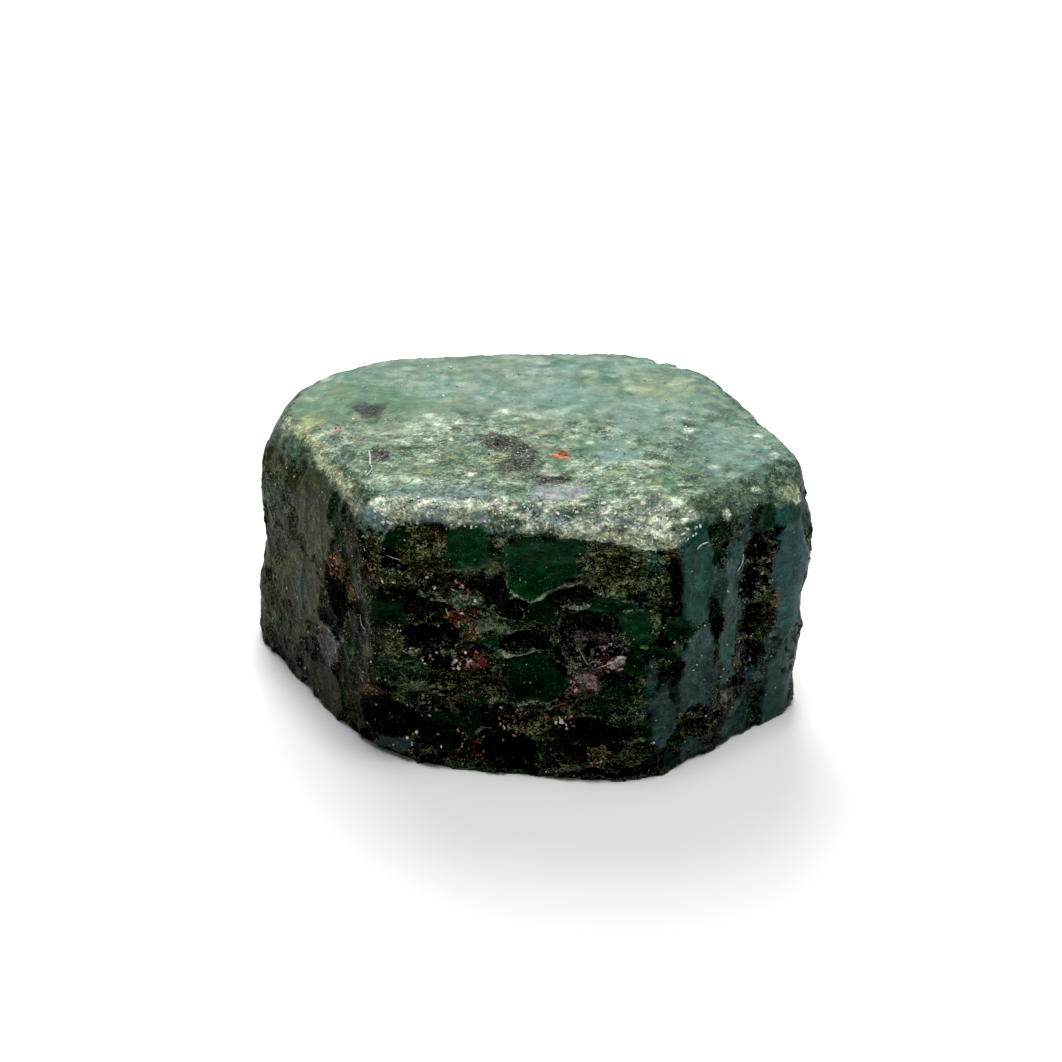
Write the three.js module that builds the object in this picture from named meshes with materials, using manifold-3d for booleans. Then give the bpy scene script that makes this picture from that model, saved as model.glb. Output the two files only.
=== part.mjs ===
// A rough emerald: one short, stout beryl crystal with worn edges, in millimetres, +Z up.
// It rests on a flat broken base, and the origin is the middle of that base.

import * as THREE from 'three';
import Module from 'manifold-3d';
import { mergeVertices } from 'three/addons/utils/BufferGeometryUtils.js';
import { ImprovedNoise } from 'three/addons/math/ImprovedNoise.js';

// Driving dimensions
const height = 20; // base to top face
const middle = height / 2; // the height that the distances below are measured from
const baseTrim = 1.5; // cut off the uneven underside to leave the flat that it rests on
const edgeSharpness = 30; // higher leaves crisper edges where two faces meet
const rings = 17; // fineness of the surface

// The six prism faces. azimuth: where the face looks, 0 is +X and 90 is +Y. lift: how far it leans back.
const prismFaces = [
  { name: 'front', azimuth: -96.2, lift: 4.7, distance: 12.75, edgeWear: 0.8 },
  { name: 'front right', azimuth: -54.4, lift: 0.5, distance: 15.8, edgeWear: 0.7 },
  { name: 'right', azimuth: 19.7, lift: 1.5, distance: 16.5, edgeWear: 0.6 },
  { name: 'back', azimuth: 93.3, lift: 2.7, distance: 14, edgeWear: 0.2 },
  { name: 'left', azimuth: 165.7, lift: 8.4, distance: 20.6, edgeWear: 0.6 },
  { name: 'front left', azimuth: -144.9, lift: 2.2, distance: 15.4, edgeWear: 1.3 },
];

// Corners that are knocked off
const brokenCorners = [
  { name: 'back right', azimuth: 56, lift: 18, distance: 17.6 },
  { name: 'back left', azimuth: 128, lift: 20, distance: 19.2 },
  { name: 'lower front left', azimuth: -118, lift: -28, distance: 17.5 },
  { name: 'upper left', azimuth: -172, lift: 36, distance: 20.5 },
  { name: 'right', azimuth: -19, lift: 3, distance: 19.6 },
];

// Hollows in the sides. reach: how far the hollow spreads along the side and up it. depth: at its deepest.
const hollows = [
  { name: 'notch under the front left corner', azimuth: -124, level: 3.5, reach: [3.6, 1.8], depth: 1.0 },
  { name: 'pit in the front left face', azimuth: -146, level: 10.5, reach: [1.8, 2.6], depth: 0.8 },
  { name: 'groove down the front right face', azimuth: -29, level: 9, reach: [1.6, 7.5], depth: 0.8 },
  { name: 'upper scar of the front face', azimuth: -84, level: 15.5, reach: [3.2, 1.6], depth: 0.6 },
  { name: 'middle scar of the front face', azimuth: -72, level: 10.5, reach: [3.0, 1.6], depth: 0.7 },
  { name: 'lower scar of the front face', azimuth: -88, level: 6.5, reach: [3.4, 1.8], depth: 0.6 },
  { name: 'left scar of the front face', azimuth: -112, level: 12, reach: [2.6, 3.4], depth: 0.6 },
  { name: 'scar of the right face', azimuth: 14, level: 8, reach: [4.2, 2.4], depth: 0.7 },
  { name: 'high scar of the back face', azimuth: 78, level: 14, reach: [4.0, 2.2], depth: 0.6 },
  { name: 'low scar of the back face', azimuth: 104, level: 6.5, reach: [4.6, 2.4], depth: 0.8 },
  { name: 'scar of the left face', azimuth: 168, level: 9, reach: [3.4, 2.8], depth: 0.5 },
];

// A hollow fades in between these distances from the middle, towards its own side
const sideReach = { from: 8, to: 12 };

// Gentle unevenness all over
const swell = { size: 7.5, depth: 0.22 };

function outward(azimuth, lift) {
  const polar = THREE.MathUtils.degToRad(90 - lift);
  const turn = THREE.MathUtils.degToRad(azimuth);
  const level = Math.sin(polar);
  return new THREE.Vector3(Math.cos(turn) * level, Math.sin(turn) * level, Math.cos(polar));
}

// The narrow worn band where a prism face meets the top face, at 45 degrees to the level
function wornEdge(face) {
  const lift = THREE.MathUtils.degToRad(face.lift);
  const reachAtTop = (face.distance - Math.sin(lift) * middle) / Math.cos(lift);
  const sharpEdge = (reachAtTop + middle) * Math.SQRT1_2;
  return { normal: outward(face.azimuth, 45), distance: sharpEdge - face.edgeWear };
}

const crystalFaces = [
  { normal: new THREE.Vector3(0, 0, 1), distance: middle },
  { normal: new THREE.Vector3(0, 0, -1), distance: middle + baseTrim },
  ...[...prismFaces, ...brokenCorners].map((face) => ({
    normal: outward(face.azimuth, face.lift),
    distance: face.distance,
  })),
  ...prismFaces.map(wornEdge),
];

// How far the crystal reaches from its middle in one direction, its edges slightly rounded
function reachOf(direction) {
  let sum = 0;
  for (const { normal, distance } of crystalFaces) {
    const share = Math.max(0, direction.dot(normal)) / distance;
    sum += share ** edgeSharpness;
  }
  return sum ** (-1 / edgeSharpness);
}

// How deep the hollows are at a point, each a smooth dish with a soft rim that keeps to its own side
function hollowDepth(point) {
  let depth = 0;
  for (const { azimuth, level, reach, depth: deepest } of hollows) {
    const side = outward(azimuth, 0);
    const towardsSide = point.x * side.x + point.y * side.y;
    const nearSide = THREE.MathUtils.smoothstep(towardsSide, sideReach.from, sideReach.to);
    const along = (point.y * side.x - point.x * side.y) / reach[0];
    const up = (point.z + middle - level) / reach[1];
    depth += deepest * nearSide * Math.exp(-(along * along + up * up));
  }
  return depth;
}

const noise = new ImprovedNoise();

function crystalGeometry() {
  const geometry = new THREE.IcosahedronGeometry(1, rings);
  const position = geometry.getAttribute('position');
  const direction = new THREE.Vector3();
  const point = new THREE.Vector3();
  for (let i = 0; i < position.count; i++) {
    direction.fromBufferAttribute(position, i).normalize();
    point.copy(direction).multiplyScalar(reachOf(direction));
    const wave = noise.noise(point.x / swell.size, point.y / swell.size, point.z / swell.size);
    const sink = hollowDepth(point) + swell.depth * (0.5 + 0.5 * wave);
    point.addScaledVector(direction, -sink);
    position.setXYZ(i, point.x, point.y, point.z + middle);
  }
  return geometry;
}

// A closed mesh becomes a solid, ready to cut
function solidOf(geometry, wasm) {
  const bare = geometry.clone();
  bare.deleteAttribute('normal');
  bare.deleteAttribute('uv');
  const closed = mergeVertices(bare);
  return new wasm.Manifold(new wasm.Mesh({
    numProp: 3,
    vertProperties: new Float32Array(closed.getAttribute('position').array),
    triVerts: new Uint32Array(closed.getIndex().array),
  }));
}

function geometryOf(solid) {
  const mesh = solid.getMesh();
  const geometry = new THREE.BufferGeometry();
  geometry.setAttribute('position', new THREE.BufferAttribute(mesh.vertProperties, 3));
  geometry.setIndex(new THREE.BufferAttribute(mesh.triVerts, 1));
  geometry.computeVertexNormals();
  return geometry;
}

const wasm = await Module();
wasm.setup();

// The flat base: everything below z = 0 is cut away
const cutterSize = 60;
const cutter = new THREE.BoxGeometry(cutterSize, cutterSize, cutterSize);
cutter.translate(0, 0, -cutterSize / 2);
const crystal = geometryOf(solidOf(crystalGeometry(), wasm).subtract(solidOf(cutter, wasm)));

// The origin goes to the middle of the base
crystal.computeBoundingBox();
const centre = crystal.boundingBox.getCenter(new THREE.Vector3());
crystal.translate(-centre.x, -centre.y, 0);

const emerald = new THREE.Mesh(
  crystal,
  new THREE.MeshStandardMaterial({ color: 0x1f3d33, roughness: 0.45, metalness: 0 }),
);
emerald.name = 'emerald_crystal';

const group = new THREE.Group();
group.add(emerald);

export default group;
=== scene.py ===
import bpy
import bmesh
import math
import random
import numpy as np
from mathutils import Matrix, Vector, noise
from mathutils.bvhtree import BVHTree
from types import SimpleNamespace


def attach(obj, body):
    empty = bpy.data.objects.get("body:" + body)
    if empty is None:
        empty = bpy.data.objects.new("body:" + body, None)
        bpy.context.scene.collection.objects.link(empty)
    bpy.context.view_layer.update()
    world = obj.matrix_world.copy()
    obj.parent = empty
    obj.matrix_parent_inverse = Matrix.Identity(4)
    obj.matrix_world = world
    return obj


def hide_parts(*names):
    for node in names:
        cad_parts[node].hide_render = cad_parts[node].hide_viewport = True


# A rough emerald on a pale table. Sizes are in mm, and places marked "at" are pixels of the photograph.
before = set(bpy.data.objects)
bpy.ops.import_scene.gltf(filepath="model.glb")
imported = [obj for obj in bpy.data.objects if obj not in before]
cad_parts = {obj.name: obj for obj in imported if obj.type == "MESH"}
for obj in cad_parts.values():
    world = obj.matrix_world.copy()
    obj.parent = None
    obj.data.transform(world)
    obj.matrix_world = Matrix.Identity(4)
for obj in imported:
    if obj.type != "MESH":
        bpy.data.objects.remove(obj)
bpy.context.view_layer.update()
mm = 0.001
noise.seed_set(7)  # else the warps follow the clock
weld = 0.001  # points nearer than this are one
scene = bpy.context.scene
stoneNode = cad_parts["emerald_crystal"]
print("frame loaded")


def named(columns, rows):
    # each row of values as a dictionary, and a short row leaves out its last columns
    return [dict(zip(columns, row)) for row in rows]


def placed(name, data):
    made = bpy.data.objects.new(name, data)
    scene.collection.objects.link(made)
    return made


def meshFrom(bm, name):
    mesh = bpy.data.meshes.new(name)
    bm.to_mesh(mesh)
    bm.free()
    return mesh


cameraLook = {
    "place": (1.01, -93.36, 65.8),
    "pitch": 30.3,  # degrees below level
    "focal": 1500,  # in pixels of the photograph
    "photoSide": 1062,
    "sensor": 36,
    "nearest": 5,
    "farthest": 4000,
}


def addCamera(look):
    data = bpy.data.cameras.new("camera")
    data.sensor_width = look["sensor"]
    data.lens = look["focal"] / look["photoSide"] * look["sensor"]
    data.clip_start = look["nearest"] * mm
    data.clip_end = look["farthest"] * mm
    scene.camera = placed("camera", data)
    scene.camera.location = Vector(look["place"]) * mm
    scene.camera.rotation_euler = (math.radians(90 - look["pitch"]), 0, 0)


addCamera(cameraLook)


def photoRay(at):
    # the way that a pixel of the photograph looks
    half = cameraLook["photoSide"] / 2
    turn = Matrix.Rotation(math.radians(90 - cameraLook["pitch"]), 3, "X")
    way = turn @ Vector((at[0] - half, half - at[1], -cameraLook["focal"]))
    return way.normalized()


print("camera set")

# The fine surface: a copy of the solid, remeshed and smoothed until its flat triangles are gone
fineSurface = {
    "voxel": 0.214,
    "smoothing": 0.5,
    "passes": 16,
    "settled": 0.06,  # what is nearer to the table than this lies flat on it
}


def fineCopy(source, name, settings):
    bm = bmesh.new()
    bm.from_mesh(source.data)
    bmesh.ops.remove_doubles(bm, verts=bm.verts, dist=weld * mm)
    rough = placed(name + "_rough", meshFrom(bm, name))
    remesh = rough.modifiers.new("remesh", "REMESH")
    remesh.mode = "VOXEL"
    remesh.voxel_size = settings["voxel"] * mm
    smooth = rough.modifiers.new("smooth", "SMOOTH")
    smooth.factor = settings["smoothing"]
    smooth.iterations = settings["passes"]
    fine = bpy.data.meshes.new_from_object(rough.evaluated_get(bpy.context.evaluated_depsgraph_get()))
    fine.name = name
    bpy.data.objects.remove(rough)
    return placed(name, fine)


crystal = fineCopy(stoneNode, "crystal", fineSurface)


def readVectors(mesh, name):
    flat = np.empty(len(mesh.vertices) * 3, dtype=np.float32)
    mesh.vertices.foreach_get(name, flat)
    return flat.reshape(-1, 3).astype(float)


def writePoints(mesh, points):
    mesh.vertices.foreach_set("co", (points * mm).astype(np.float32).ravel())
    mesh.update()


def smoothStep(value, low, high):
    t = np.clip((value - low) / (high - low), 0, 1)
    return t * t * (3 - 2 * t)


def mixed(a, b, amount):
    amount = np.clip(np.asarray(amount, dtype=float), 0, 1)[:, None]
    return np.asarray(a) * (1 - amount) + np.asarray(b) * amount


def fieldOf(size, octaves=3, stretch=(1, 1, 1), seed=0.0):
    # smooth noise over the stone between about -1 and 1, with lumps of that size
    scaled = basePoints / (size * np.array(stretch)) + seed
    return np.array([noise.fractal(p, 1.0, 2.0, octaves) for p in scaled])


def warpOf(size, amount, seed=0.0):
    # a shift of the stone's points that changes smoothly from place to place
    return amount * np.array([noise.noise_vector(p) for p in basePoints / size + seed])


edgeList = np.empty(len(crystal.data.edges) * 2, dtype=np.int32)
crystal.data.edges.foreach_get("vertices", edgeList)
edgeList = edgeList.reshape(-1, 2)
neighbours = np.bincount(edgeList.ravel(), minlength=len(crystal.data.vertices))


def spread(values, passes):
    # each point goes halfway to the mean of its neighbours
    columns = np.atleast_2d(np.asarray(values, dtype=float).T).T.copy()
    for _ in range(passes):
        for c in range(columns.shape[1]):
            column = columns[:, c]
            total = np.bincount(edgeList[:, 0], column[edgeList[:, 1]], minlength=len(column))
            total += np.bincount(edgeList[:, 1], column[edgeList[:, 0]], minlength=len(column))
            columns[:, c] = 0.5 * column + 0.5 * total / neighbours
    return columns if np.ndim(values) > 1 else columns[:, 0]


def facing(azimuth, lift):
    turn, rise = math.radians(azimuth), math.radians(lift)
    return np.array([math.cos(turn) * math.cos(rise), math.sin(turn) * math.cos(rise), math.sin(rise)])


def sortedSlab(points):
    order = np.argsort(points[:, 0])
    return order, points[order, 0]


def within(points, slab, centre, reach):
    # the points in a cube around a centre
    order, places = slab
    first, last = np.searchsorted(places, (centre[0] - reach, centre[0] + reach))
    near = order[first:last]
    return near[np.abs(points[near] - centre).max(axis=1) < reach]


def surfaceTree():
    return BVHTree.FromObject(crystal, bpy.context.evaluated_depsgraph_get())


stoneTree = surfaceTree()


def onStone(at):
    # where a pixel of the photograph falls on the stone, and the way it faces there
    eye = Vector(cameraLook["place"]) * mm
    place, normal, _, _ = stoneTree.ray_cast(eye, photoRay(at))
    return None if place is None else (np.array(place) / mm, np.array(normal))


# The right side swells out a little more than the solid does
swells = named(("name", "at", "reach", "height"), [
    ("right side", (798, 560), 6.5, 0.6),
    ("lower right side", (790, 640), 4.5, 0.25),
])

# Edges that are worn back further than the solid's. depth: how far under the pixel the flat goes.
wornEdges = named(("name", "at", "facing", "depth"), [
    ("front edge", (560, 520), (-94, 44), 0.3),
    ("front edge by the right corner", (655, 522), (-78, 42), 0.62),
    ("edge over the right panels", (745, 506), (-50, 50), 0.3),
])
wearSoftness = 0.35

basePoints = readVectors(crystal.data, "co") / mm
smoothNormals = readVectors(crystal.data, "normal")
for swell in swells:
    far = np.linalg.norm(basePoints - onStone(swell["at"])[0], axis=1) / swell["reach"]
    basePoints += smoothNormals * (swell["height"] * (1 - smoothStep(far, 0, 1)))[:, None]
for edge in wornEdges:
    way = facing(*edge["facing"])
    level = onStone(edge["at"])[0] @ way - edge["depth"]
    excess = basePoints @ way - level
    cut = 0.5 * (excess + np.sqrt(excess**2 + wearSoftness**2)) - 0.5 * wearSoftness
    basePoints -= np.maximum(cut, 0)[:, None] * way
writePoints(crystal.data, basePoints)
baseNormals = readVectors(crystal.data, "normal")
stoneTree = surfaceTree()
print("fine surface:", len(basePoints), "points")

# Weights of the sides, 1 where the smooth surface is that side's
rise = spread(baseNormals[:, 2], 3)
topWeight = smoothStep(rise, 0.86, 0.97)
underWeight = smoothStep(-rise, 0.6, 0.9)
sideWeight = (1 - smoothStep(rise, 0.28, 0.62)) * (1 - underWeight)
rimWeight = np.clip(1 - topWeight - sideWeight - underWeight, 0, 1)

# The scars of the photographed sides. size: half the width and half the height. turn: anticlockwise.
scarMarks = named(("name", "at", "size", "depth", "finish", "turn"), [
    ("large green facet", (532, 571), (2.3, 2.6), 0.8, "green"),
    ("green facet beside it", (572, 562), (1.9, 1.8), 0.6, "green"),
    ("olive striped facet", (624, 566), (3.2, 2.2), 0.7, "olive"),
    ("black lens", (571, 598), (2.0, 0.9), 0.95, "black", 6),
    ("green step under the lens", (610, 607), (2.4, 1.0), 0.7, "green"),
    ("green facet left of the lens", (538, 613), (1.5, 1.0), 0.75, "deepGreen"),
    ("dark wedge by the eye", (514, 610), (1.5, 1.0), 0.7, "black", 20),
    ("eye shaped hollow", (523, 642), (1.8, 0.9), 1.0, "black"),
    ("green patch at the edge", (640, 622), (1.5, 1.3), 0.55, "green"),
    ("dark step beside the patch", (590, 624), (2.3, 1.0), 0.7, "black"),
    ("mica hollow", (592, 651), (2.2, 1.6), 1.1, "mica"),
    ("deep green facet", (532, 679), (2.2, 2.1), 0.9, "deepGreen"),
    ("dark facet by the edge", (616, 705), (2.5, 2.1), 0.85, "darkGreen"),
    ("dark cleft above it", (612, 681), (2.0, 0.6), 0.8, "black"),
    ("broken foot on the right", (592, 742), (2.7, 1.8), 0.95, "black"),
    ("knob by the right foot", (634, 756), (1.5, 1.6), 0.45, "rough"),
    ("mica streak", (530, 722), (2.2, 1.0), 0.7, "roughBrown"),
    ("foot facet", (548, 757), (1.4, 1.5), 0.6, "darkGreen"),
    ("upper green shell", (465, 545), (1.7, 1.9), 0.7, "green"),
    ("upper brown shell", (433, 540), (1.5, 1.2), 0.6, "brown"),
    ("small dark shell", (398, 543), (1.0, 1.2), 0.6, "deepGreen"),
    ("shell under it", (394, 558), (1.3, 0.8), 0.6, "black"),
    ("brown shell", (436, 578), (2.1, 1.5), 0.8, "brown"),
    ("dark shell", (487, 589), (1.7, 1.2), 0.85, "black", -14),
    ("black slot", (428, 610), (2.0, 0.8), 0.9, "black", -8),
    ("left green shell", (388, 612), (1.5, 1.0), 0.6, "deepGreen"),
    ("left dark shell below", (384, 640), (1.6, 1.2), 0.6, "olive"),
    ("middle black shell", (430, 638), (2.2, 1.1), 0.9, "black"),
    ("sparkling green shell", (402, 672), (2.2, 1.3), 0.6, "darkGreen"),
    ("pocket of red grains", (474, 656), (1.2, 1.1), 0.8, "brown"),
    ("long brown lens", (465, 684), (3.5, 1.1), 0.9, "brown", -3),
    ("black hollow at the foot", (384, 716), (2.8, 1.7), 1.1, "black"),
    ("lower green facet", (445, 731), (2.4, 1.6), 0.75, "deepGreen"),
    ("dark slot", (499, 717), (1.8, 1.0), 0.8, "black"),
    ("shadowed foot", (506, 752), (2.5, 1.5), 0.9, "black"),
    ("grey knob", (394, 742), (1.5, 1.1), 0.3, "tealGrey"),
    ("upper teal panel", (700, 580), (1.7, 4.2), 0.5, "teal"),
    ("lower teal panel", (697, 672), (1.6, 4.0), 0.5, "tealGrey"),
    ("lower edge panel", (664, 715), (1.1, 3.0), 0.45, "tealGrey"),
    ("left slit", (677, 580), (0.5, 1.7), 0.95, "black", 8),
    ("right slit", (716, 620), (0.55, 2.0), 0.95, "black"),
    ("slit in the edge", (671, 673), (1.4, 0.6), 0.8, "black", 14),
    ("narrow panel", (734, 590), (1.0, 3.2), 0.5, "tealGrey"),
    ("narrow lower panel", (728, 648), (0.9, 2.2), 0.5, "teal"),
    ("first mica pit", (760, 550), (1.4, 1.4), 1.2, "mica"),
    ("second mica pit", (751, 582), (1.5, 1.6), 1.3, "mica"),
    ("third mica pit", (754, 618), (1.6, 1.5), 1.3, "mica"),
    ("fourth mica pit", (744, 655), (1.5, 1.5), 1.2, "mica"),
    ("fifth mica pit", (733, 690), (1.5, 1.4), 1.1, "mica"),
    ("pit at the right foot", (708, 722), (1.6, 1.2), 0.9, "mica"),
    ("smooth right rim", (792, 580), (1.9, 6.0), 0.3, "rimTeal"),
    ("lower right rim", (775, 690), (1.6, 3.8), 0.3, "rimTeal"),
    ("teal hollow by the right corner", (789, 510), (1.6, 1.1), 0.4, "teal"),
    ("upper left face", (312, 505), (3.2, 4.6), 0.42, "leftGreen"),
    ("lower left face", (302, 590), (2.8, 4.0), 0.5, "left"),
    ("deep pit of the left face", (337, 602), (1.1, 2.2), 1.25, "black"),
    ("foot of the deep pit", (328, 617), (1.3, 0.7), 1.0, "black"),
    ("brown chip of the left face", (337, 566), (0.9, 1.3), 0.65, "rust"),
    ("smooth brown patch", (352, 543), (1.0, 1.5), 0.4, "brown"),
    ("grey patch under the pit", (329, 645), (1.6, 1.6), 0.4, "greyPatch"),
    ("dark notch at the left rim", (270, 545), (1.0, 1.2), 0.8, "black"),
    ("lower left shell", (330, 690), (2.2, 2.2), 0.5, "left"),
])

# Broken ridges, raised and painted pale: partly their own pale colour and partly a painted highlight where
# their lips catch the light. strength: how pale. height: how far they stand up. width: half of it.
ridgeLines = named(("name", "strength", "height", "width", "through"), [
    ("left rim of the large facet", 0.6, 0.14, 0.3, [(506, 556), (504, 570), (506, 582), (511, 592)]),
    ("lower lip of the large facet", 1.0, 0.22, 0.3, [
        (511, 592), (521, 598), (532, 603), (541, 598), (548, 593), (559, 589), (573, 586), (585, 583),
    ]),
    ("ridge in the large facet", 0.5, 0.14, 0.3, [(538, 583), (546, 579), (553, 574), (561, 570)]),
    ("rim of the striped facet", 0.5, 0.14, 0.3, [(577, 563), (588, 560), (586, 570), (590, 580)]),
    ("lower lip of the striped facet", 0.95, 0.2, 0.3, [
        (588, 587), (600, 593), (612, 598), (624, 602), (637, 605),
    ]),
    ("blue step above it", 0.5, 0.14, 0.3, [(597, 583), (606, 588), (615, 593), (624, 598)]),
    ("lowest stripe", 0.5, 0.14, 0.3, [(616, 585), (630, 587), (645, 590)]),
    ("middle stripe", 0.3, 0.14, 0.3, [(606, 572), (622, 574), (640, 573)]),
    ("stripe by the edge", 0.5, 0.14, 0.3, [(638, 570), (650, 568), (659, 566)]),
    ("lip under the lens", 1.0, 0.2, 0.3, [(560, 606), (571, 608), (582, 609), (591, 606)]),
    ("pale step at the edge", 0.85, 0.14, 0.3, [(624, 612), (636, 611), (648, 612)]),
    ("upper lip of the eye", 0.7, 0.14, 0.3, [(496, 638), (508, 634), (518, 631), (528, 631), (537, 636)]),
    ("lower lip of the eye", 1.0, 0.22, 0.42, [(500, 651), (508, 654), (517, 655), (527, 654), (533, 650)]),
    ("lip of the mica hollow", 0.7, 0.14, 0.3, [(556, 665), (566, 667), (578, 667), (588, 669)]),
    ("lip under the deep facet", 0.9, 0.14, 0.3, [
        (516, 705), (523, 702), (534, 702), (546, 703), (557, 702),
    ]),
    ("second lip under it", 0.5, 0.14, 0.3, [(530, 707), (545, 709), (555, 709)]),
    ("left rim of the deep facet", 0.5, 0.14, 0.3, [(505, 676), (509, 687), (514, 697), (518, 703)]),
    ("lower edge of the brown lens", 0.7, 0.14, 0.3, [
        (447, 695), (457, 697), (468, 700), (480, 703), (496, 704),
    ]),
    ("upper edge of the brown lens", 0.5, 0.14, 0.3, [(418, 690), (426, 684), (433, 676), (440, 669)]),
    ("edge of the sparkling shell", 0.6, 0.14, 0.3, [(394, 695), (404, 693), (414, 690), (422, 685)]),
    ("lip of the dark slot", 0.65, 0.14, 0.3, [(477, 727), (488, 730), (500, 732), (510, 728)]),
    ("upper lip of the black slot", 0.85, 0.14, 0.3, [(419, 599), (429, 601), (438, 604), (449, 603)]),
    ("crescent beside the black shell", 0.65, 0.14, 0.3, [(424, 618), (428, 624), (435, 628), (441, 625)]),
    ("rim of the left shell", 0.6, 0.14, 0.3, [(378, 622), (387, 625), (396, 628)]),
    ("edge under the brown shell", 0.6, 0.14, 0.3, [(440, 561), (449, 565), (457, 569), (464, 572)]),
    ("rim above the green shell", 0.4, 0.14, 0.3, [
        (452, 526), (461, 523), (470, 526), (478, 533), (486, 543),
    ]),
    ("ledge under the dark shell", 0.5, 0.14, 0.3, [(478, 608), (486, 611), (496, 613), (505, 609)]),
    ("step right of the dark shell", 0.6, 0.14, 0.3, [(503, 590), (506, 596), (512, 600)]),
    ("line at the right foot", 0.5, 0.14, 0.3, [(611, 745), (619, 744), (627, 746)]),
    ("pale break at the right foot", 0.6, 0.14, 0.3, [(621, 760), (629, 755), (637, 757)]),
    ("edge of the foot", 0.5, 0.14, 0.3, [(560, 772), (575, 770), (592, 773)]),
    ("edge between the panels", 0.35, 0.14, 0.3, [(722, 545), (724, 575), (722, 605)]),
    ("yellow ridge of the right side", 0.5, 0.14, 0.3, [(776, 585), (775, 606), (769, 632), (764, 662)]),
    ("its lower part", 0.5, 0.14, 0.3, [(763, 668), (762, 690), (752, 703), (742, 722)]),
    ("rim of the left pit", 0.5, 0.14, 0.3, [(351, 583), (350, 600), (346, 614), (332, 628)]),
    ("fold of the left face", 0.35, 0.14, 0.3, [(304, 562), (300, 585), (303, 606)]),
])

# Scars that the photograph doesn't reach, or that fill in between its marks
looseScars = {
    "seed": 11,
    "count": 3000,
    "width": (0.8, 2.0),
    "flatness": (0.5, 0.72),  # height over width
    "curve": 0.28,  # depth over the square of the width
    "spacing": 0.42,
    "turn": 30,
    "tilt": 0.5,
}
smallScars = {
    "seed": 17,
    "count": 4200,
    "width": (0.22, 0.8),
    "flatness": (0.3, 0.75),
    "depth": (0.06, 0.26),
    "turn": 35,
    "tilt": 0.5,
}

# Small chips along the worn edges, shallow dents in the ground top, and breaks under the foot
edgeChips = {"seed": 5, "count": 1500, "width": (0.25, 0.95), "depth": (0.07, 0.26), "turn": 90, "tilt": 0.5}
topDents = {
    "seed": 23,
    "count": 420,
    "width": (0.5, 2.2),
    "flatness": (0.3, 0.8),
    "depth": (0.03, 0.12),
    "turn": 25,
    "tilt": 0.3,
}
underScars = {"seed": 31, "count": 34, "width": (1.6, 3.6), "depth": (0.2, 0.5), "turn": 90, "tilt": 0.2}

# What each stretch of the sides is like, by the way that it faces. deep: how deep its scars are beside
# the front's. upright: how far its streaks run up instead of across. band: how pale and worn its edge is.
stretches = named(("azimuth", "deep", "upright", "band", "finishes"), [
    (-180, 0.3, 0.6, 0.1, ["left", "darkGreen", "left", "black"]),
    (-148, 0.35, 1.0, 0.1, ["left", "left", "darkGreen", "brown"]),
    (-130, 0.7, 0.5, 0.35, ["brown", "black", "roughBrown"]),
    (-118, 0.9, 0.2, 1.0, ["brown", "black", "darkGreen", "rough"]),
    (-96, 1.0, 0.0, 1.0, ["black", "deepGreen", "darkGreen", "brown", "deepGreen", "rough"]),
    (-83, 1.0, 0.0, 1.0, ["deepGreen", "darkGreen", "brown", "rough"]),
    (-72, 0.9, 0.0, 0.45, ["deepGreen", "darkGreen", "black", "rough"]),
    (-62, 0.8, 0.3, 0.12, ["darkGreen", "deepGreen", "rough", "tealGrey"]),
    (-45, 0.4, 1.0, 0.15, ["tealGrey", "tealGrey", "teal"]),
    (-25, 0.6, 0.8, 0.15, ["rimTeal", "tealGrey", "black", "tealGrey"]),
    (-5, 0.25, 0.6, 0.2, ["rimTeal", "rimTeal", "tealGrey"]),
    (25, 0.5, 0.2, 0.15, ["tealGrey", "darkGreen", "black", "rough"]),
    (90, 0.8, 0.0, 0.3, ["black", "darkGreen", "deepGreen", "brown", "rough"]),
    (150, 0.5, 0.3, 0.1, ["left", "darkGreen", "black", "deepGreen"]),
    (180, 0.3, 0.6, 0.1, ["left", "darkGreen", "left", "black"]),
])

# The ground top drops a little past a broken line
topStep = {"from": (684, 418), "to": (654, 514), "drop": 0.16, "edge": 0.3, "fade": (3, 8)}

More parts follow.
